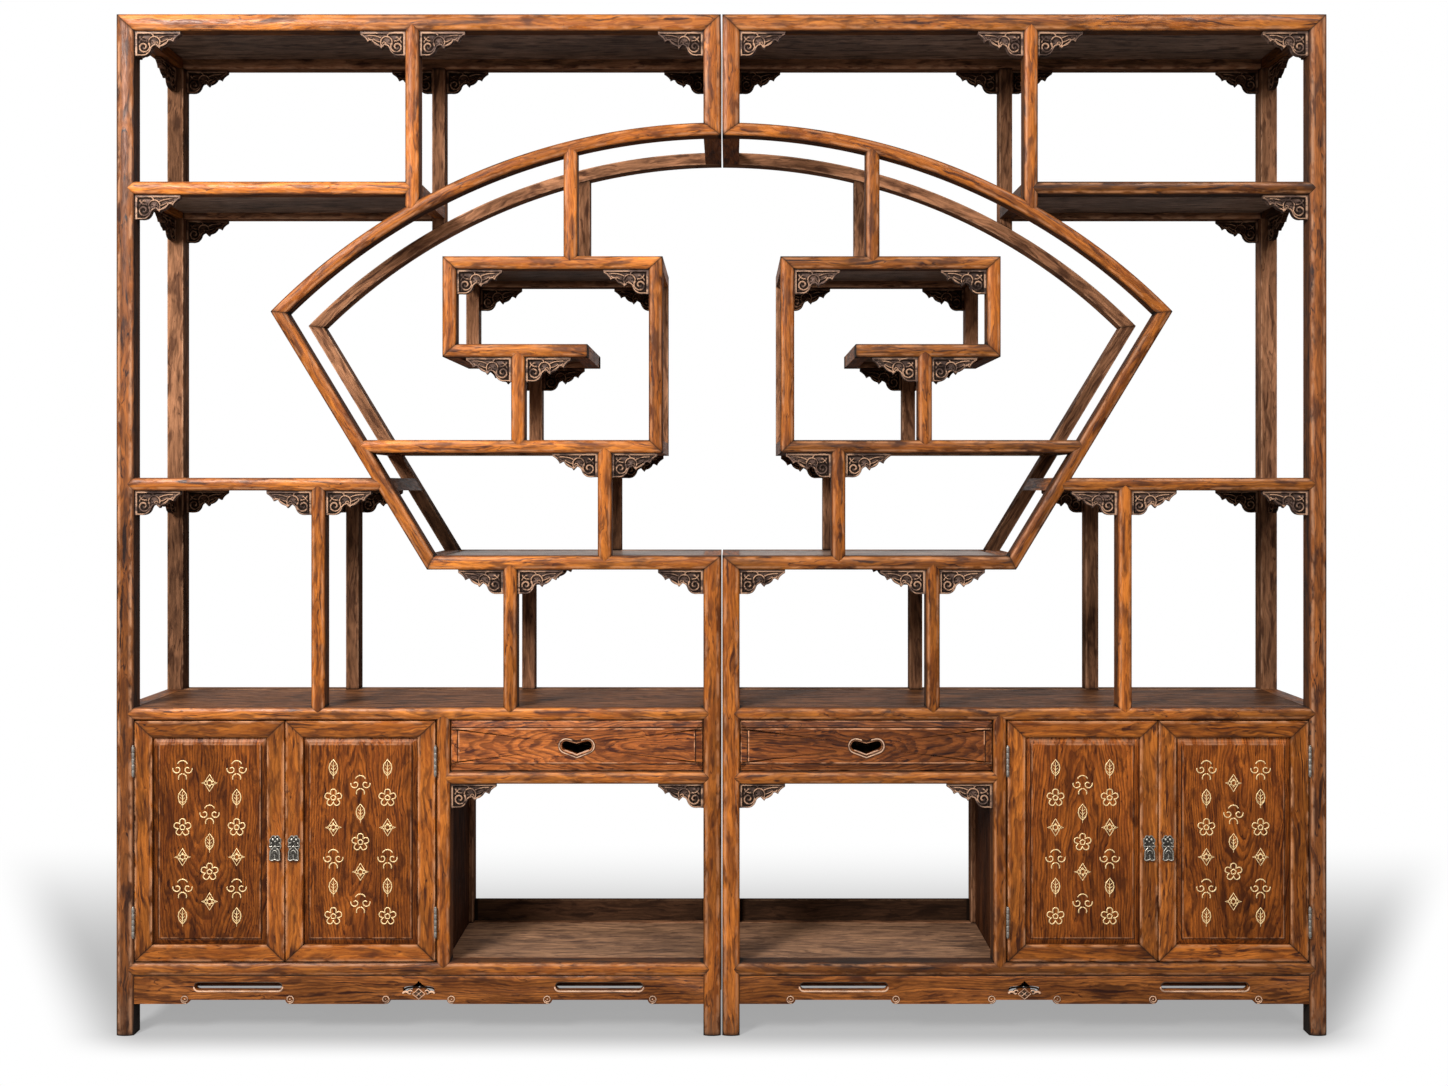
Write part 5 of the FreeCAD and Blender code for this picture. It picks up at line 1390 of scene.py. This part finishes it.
# The lock plates and pulls
# A small bronze plate with a lobed outline is pinned to each meeting stile. Two lugs on it hold a pin,
# and a cast pull hangs from that pin: a dark ground with a raised rim, an arch and a rib on it.
bronze = metal_finish("lock_bronze", (0.06, 0.05, 0.04), (0.62, 0.58, 0.5), 0.3, 420, 0.75)
plate_height, plate_thickness, pivot_drop = 0.036, 0.0012, 0.021
pivot_z, pivot_y, lug_half, pin_radius = 0.372, front_plane - 0.0036, 0.002, 0.00095
plate_centres = {"inner": 0.8363, "outer": 0.8727}


def rounded_line(points, count):
    """A closed line through the points, curved between them by the weights of a cardinal spline."""
    p = np.asarray(points, float)
    t = np.linspace(0, 1, count, endpoint=False)[:, None, None]
    a, b, c, d = (np.roll(p, k, 0)[None] for k in (1, 0, -1, -2))
    curve = 2 * b + (c - a) * t + (2 * a - 5 * b + 4 * c - d) * t ** 2 + (3 * b - a - 3 * c + d) * t ** 3
    return (0.5 * curve).transpose(1, 0, 2).reshape(-1, 2)


plate_half = np.array([(0, 0), (7.5, 0), (9.8, 2), (8.9, 6), (10.6, 10.5), (12.1, 15), (10.8, 19),
                       (12.1, 23.5), (11.6, 28.5), (8.8, 31), (7.6, 34), (4.2, 35.9), (0, 34.6)]) * 0.001
bosses = ((-0.0045, 0.0275, 0.0026), (0.0045, 0.0275, 0.0026), (0, 0.0315, 0.0017),
          (0, 0.0235, 0.0017), (-0.0078, 0.0205, 0.0014), (0.0078, 0.0205, 0.0014),
          (-0.0062, 0.003, 0.0013), (0.0062, 0.003, 0.0013))


def lock_plate(centre):
    low, back, face = pivot_z + pivot_drop - plate_height, door_y, door_y - plate_thickness
    outline = rounded_line(whole(plate_half), 4) + (centre, low)
    shells = [stepped(outline, [(0, back, 0, 0.5), (0, face + 0.0005, 0.6, 0), (0.0004, face, 1, 0),
                                (0.0012, face + 0.0001, 0.3, 0.5), (0.0016, face + 0.0003, 0, 0.9)])]
    rim = outline + mitres(outline) * 0.0014
    shells.append(bead(rim, face, 0.00055, closed=True, sides_of_bead=6))
    for x, z, radius in bosses:
        shells.append(dome(centre + x, face + 0.0002, low + z, radius, radius * 0.6))
    for way in (-1, 1):
        near, far = sorted((centre + way * 0.00275, centre + way * 0.00425))
        shells.append(board(near, far, pivot_y - lug_half, face, pivot_z - lug_half, pivot_z + lug_half, "y",
                            0.0005))
        roll = curl((0, 0), (100, 440), (0.0034, 0.001), 20) * (way, 1)
        roll = roll + (centre + way * 0.0088, low + 0.0125)
        shells.append(bead(roll, face, 0.0005, sides_of_bead=6))
    pin = [(centre + x, pivot_z) for x in (-0.0115, -0.006, 0.006, 0.0115)]
    return shells + [bead(pin, pivot_y, pin_radius)]


pull_half = np.array([(0, -0.4), (2.6, -1.6), (4.6, -4.4), (7.6, -7.4), (9.1, -11.5), (9.1, -17),
                      (9.3, -22.5), (9.6, -26), (6.4, -27.4), (3, -26.8), (0, -25.2)]) * 0.001
pull_arch = np.array([(-5.4, -15), (-4.4, -10.6), (-1.8, -8), (1.8, -8), (4.4, -10.6), (5.4, -15)]) * 0.001
pull_rib = np.array([(0, -15.5), (0, -20), (0, -25)]) * 0.001
pull_head = np.array([(-2.4, 0), (0, 0), (2.4, 0)]) * 0.001


def pull(centre):
    pivot = (centre, pivot_z)
    loop = rounded_line(whole(pull_half), 4) + pivot
    ground = stepped(loop, [(0.0002, pivot_y + 0.0007, 0, 1), (0.0002, pivot_y - 0.0001, 0, 1),
                            (0.001, pivot_y - 0.0002, 0, 0.9), (0.0016, pivot_y - 0.0001, 0, 0.7)])
    return [bead(loop, pivot_y, 0.0012, closed=True), bead(pull_arch + pivot, pivot_y - 0.0003, 0.0009),
            bead(pull_rib + pivot, pivot_y - 0.0003, 0.0011), bead(pull_head + pivot, pivot_y, 0.0019),
            ground]


for side, sign in sides:
    for door, centre in plate_centres.items():
        body = f"{side}_{door}_door"
        for name, build, rides, node_name in (("lock_plate", lock_plate, body, f"{body}_fittings"),
                                              ("pull_cast", pull, f"{body}_pull", f"{body}_pull")):
            piece(f"{body}_{name}", turned(build(centre), sign), bronze, rides, [node_name],
                  sharp=50)

# The drawers
# The drawer's front is one figured board with a bevelled border and a heart-shaped finger hole whose
# rim is moulded. Behind it is a plain box of thinner stuff.
drawer_finish = wood_finish("drawer_hardwood", (0.42, 0.125, 0.028), (0.21, 0.055, 0.013),
                            (0.045, 0.012, 0.006), 0.75, 0.65, 0.8, 0.38, 0.16)
lining_finish = wood_finish("lining_wood", (0.46, 0.29, 0.15), (0.33, 0.195, 0.095), (0.17, 0.085, 0.038),
                            0.25, 0.2, 0.4, 0.5, 0.1, along=(0, 0, math.pi / 2))
drawer_box = (0.0375, 0.5295, 0.5185, 0.616)
hole_x, hole_z = 0.2835, 0.56725


def heart(angle, grow):
    """The heart's edge about its middle, pushed outwards by grow and read as a distance in each
    direction: a point, straight sides, two round lobes, and lines that meet in a notch above."""
    lobe = curl((0.0205, 0), (-69, 106), (0.0095, 0.0095), 40)
    outline = whole(np.concatenate([np.linspace((0, -0.018), lobe[0], 11)[:-1], lobe,
                                    np.linspace(lobe[-1], (0, 0.0042), 7)[1:]]))
    outline = outline - mitres(outline) * grow
    direction = np.arctan2(outline[:, 1], outline[:, 0])
    return np.interp(angle, direction, np.linalg.norm(outline, axis=1), period=2 * math.pi)


def drawer_front(tone):
    """A ring of sections from the hole out to the edge, round the back and home through the hole, and
    the beads of the hole's rim and lip."""
    hole, low, high = np.array((hole_x, hole_z)), np.array(drawer_box[::2]), np.array(drawer_box[1::2])
    corner = [math.atan2(z - hole_z, x - hole_x) for x in drawer_box[:2] for z in drawer_box[2:]]
    angle = np.unique(np.concatenate([np.linspace(-math.pi, math.pi, 97)[:-1], corner]))
    way = np.stack([np.cos(angle), np.sin(angle)], 1)
    tiny = np.where(way < 0, np.minimum(way, -1e-9), np.maximum(way, 1e-9))
    far = (np.where(way < 0, low - hole, high - hole) / tiny).min(1)
    rim = way * far[:, None] + hole
    shrink = np.sign(hole - rim) * (np.minimum(abs(rim - low), abs(rim - high)) < 1e-6)
    face, back = door_y, door_y + 0.02
    sections = [(way * heart(angle, grow)[:, None] + hole, *rest) for grow, *rest in (
        (0, back, 0, 0.1), (0, face + 0.006, 0, 0.1), (0, face + 0.0016, 0.3, 0.3),
        (0.0007, face + 0.0004, 1, 0), (0.0016, face + 0.0003, 0.8, 0.1), (0.0021, face + 0.0012, 0, 1),
        (0.0034, face + 0.0013, 0, 0.9), (0.0052, face + 0.0013, 0, 0.9), (0.0062, face + 0.0008, 0, 0.9),
        (0.0068, face, 0, 0.3), (0.0082, face, 0, 0))]
    sections += [(rim + shrink * inset, *rest) for inset, *rest in (
        (0.017, face, 0, 0), (0.0162, face, 1.2, 0), (0.015, face + 0.0001, 1.4, 0),
        (0.0142, face + 0.0008, 0.6, 0.3), (0.0138, face + 0.0018, 0, 1), (0.0126, face + 0.0016, 0, 1),
        (0.0118, face + 0.0013, 0, 0.2), (0.0022, face + 0.0038, 0, 0.1), (0.001, face + 0.0042, 1, 0),
        (0, face + 0.0052, 0.5, 0.2), (0, back - 0.001, 0, 0.5), (0.001, back, 0, 0))]
    sections.append(sections[0])
    rings = np.stack([standing(flat, y) for flat, y, *_ in sections])
    rubbed, dirty = np.array([section[2:] for section in sections]).T[..., None]
    local = rings[..., [0, 2, 1]] - (hole_x, hole_z, door_y)
    grain = local + local[..., :1] * (0, 0, 0.16) + (dice.uniform(0, 9), 0.004, 0.03)
    shell = loft(rings, grain, weathered(rings, rubbed, dirty, tone), close=False)
    shell = joined(shell, (len(rings) - 1) * len(angle))
    notch = np.searchsorted(angle, math.radians(90))
    round_rim = np.roll(np.arange(len(angle)), -notch)[10:-9]
    rim_line = (way * heart(angle, 0.0044)[:, None] + hole)[round_rim]
    under = (angle > math.radians(-163)) & (angle < math.radians(-17))
    lip = way[under] * heart(angle, -0.0006)[under, None] + hole
    # The rim and lip beads are pale: worn wood and a painted highlight.
    beads = [bead(rim_line, face - 0.0002, 0.0013, worn=1), bead(lip, face + 0.0022, 0.0011, worn=1)]
    return [shell], beads


for side, sign in sides:
    front, rim = drawer_front(0.5 - 0.7 * sign)
    for label, shells, finish in (("front", front, drawer_finish), ("rim", rim, worn_and_highlight_finish)):
        piece(f"{side}_drawer_{label}_made", turned(shells, sign), finish, f"{side}_drawer",
              [f"{side}_drawer_front"])
    for label in ("drawer_box", "drawer_bottom"):
        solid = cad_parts[f"{side}_{label}"]
        solid.data.materials.clear()
        solid.data.materials.append(lining_finish)
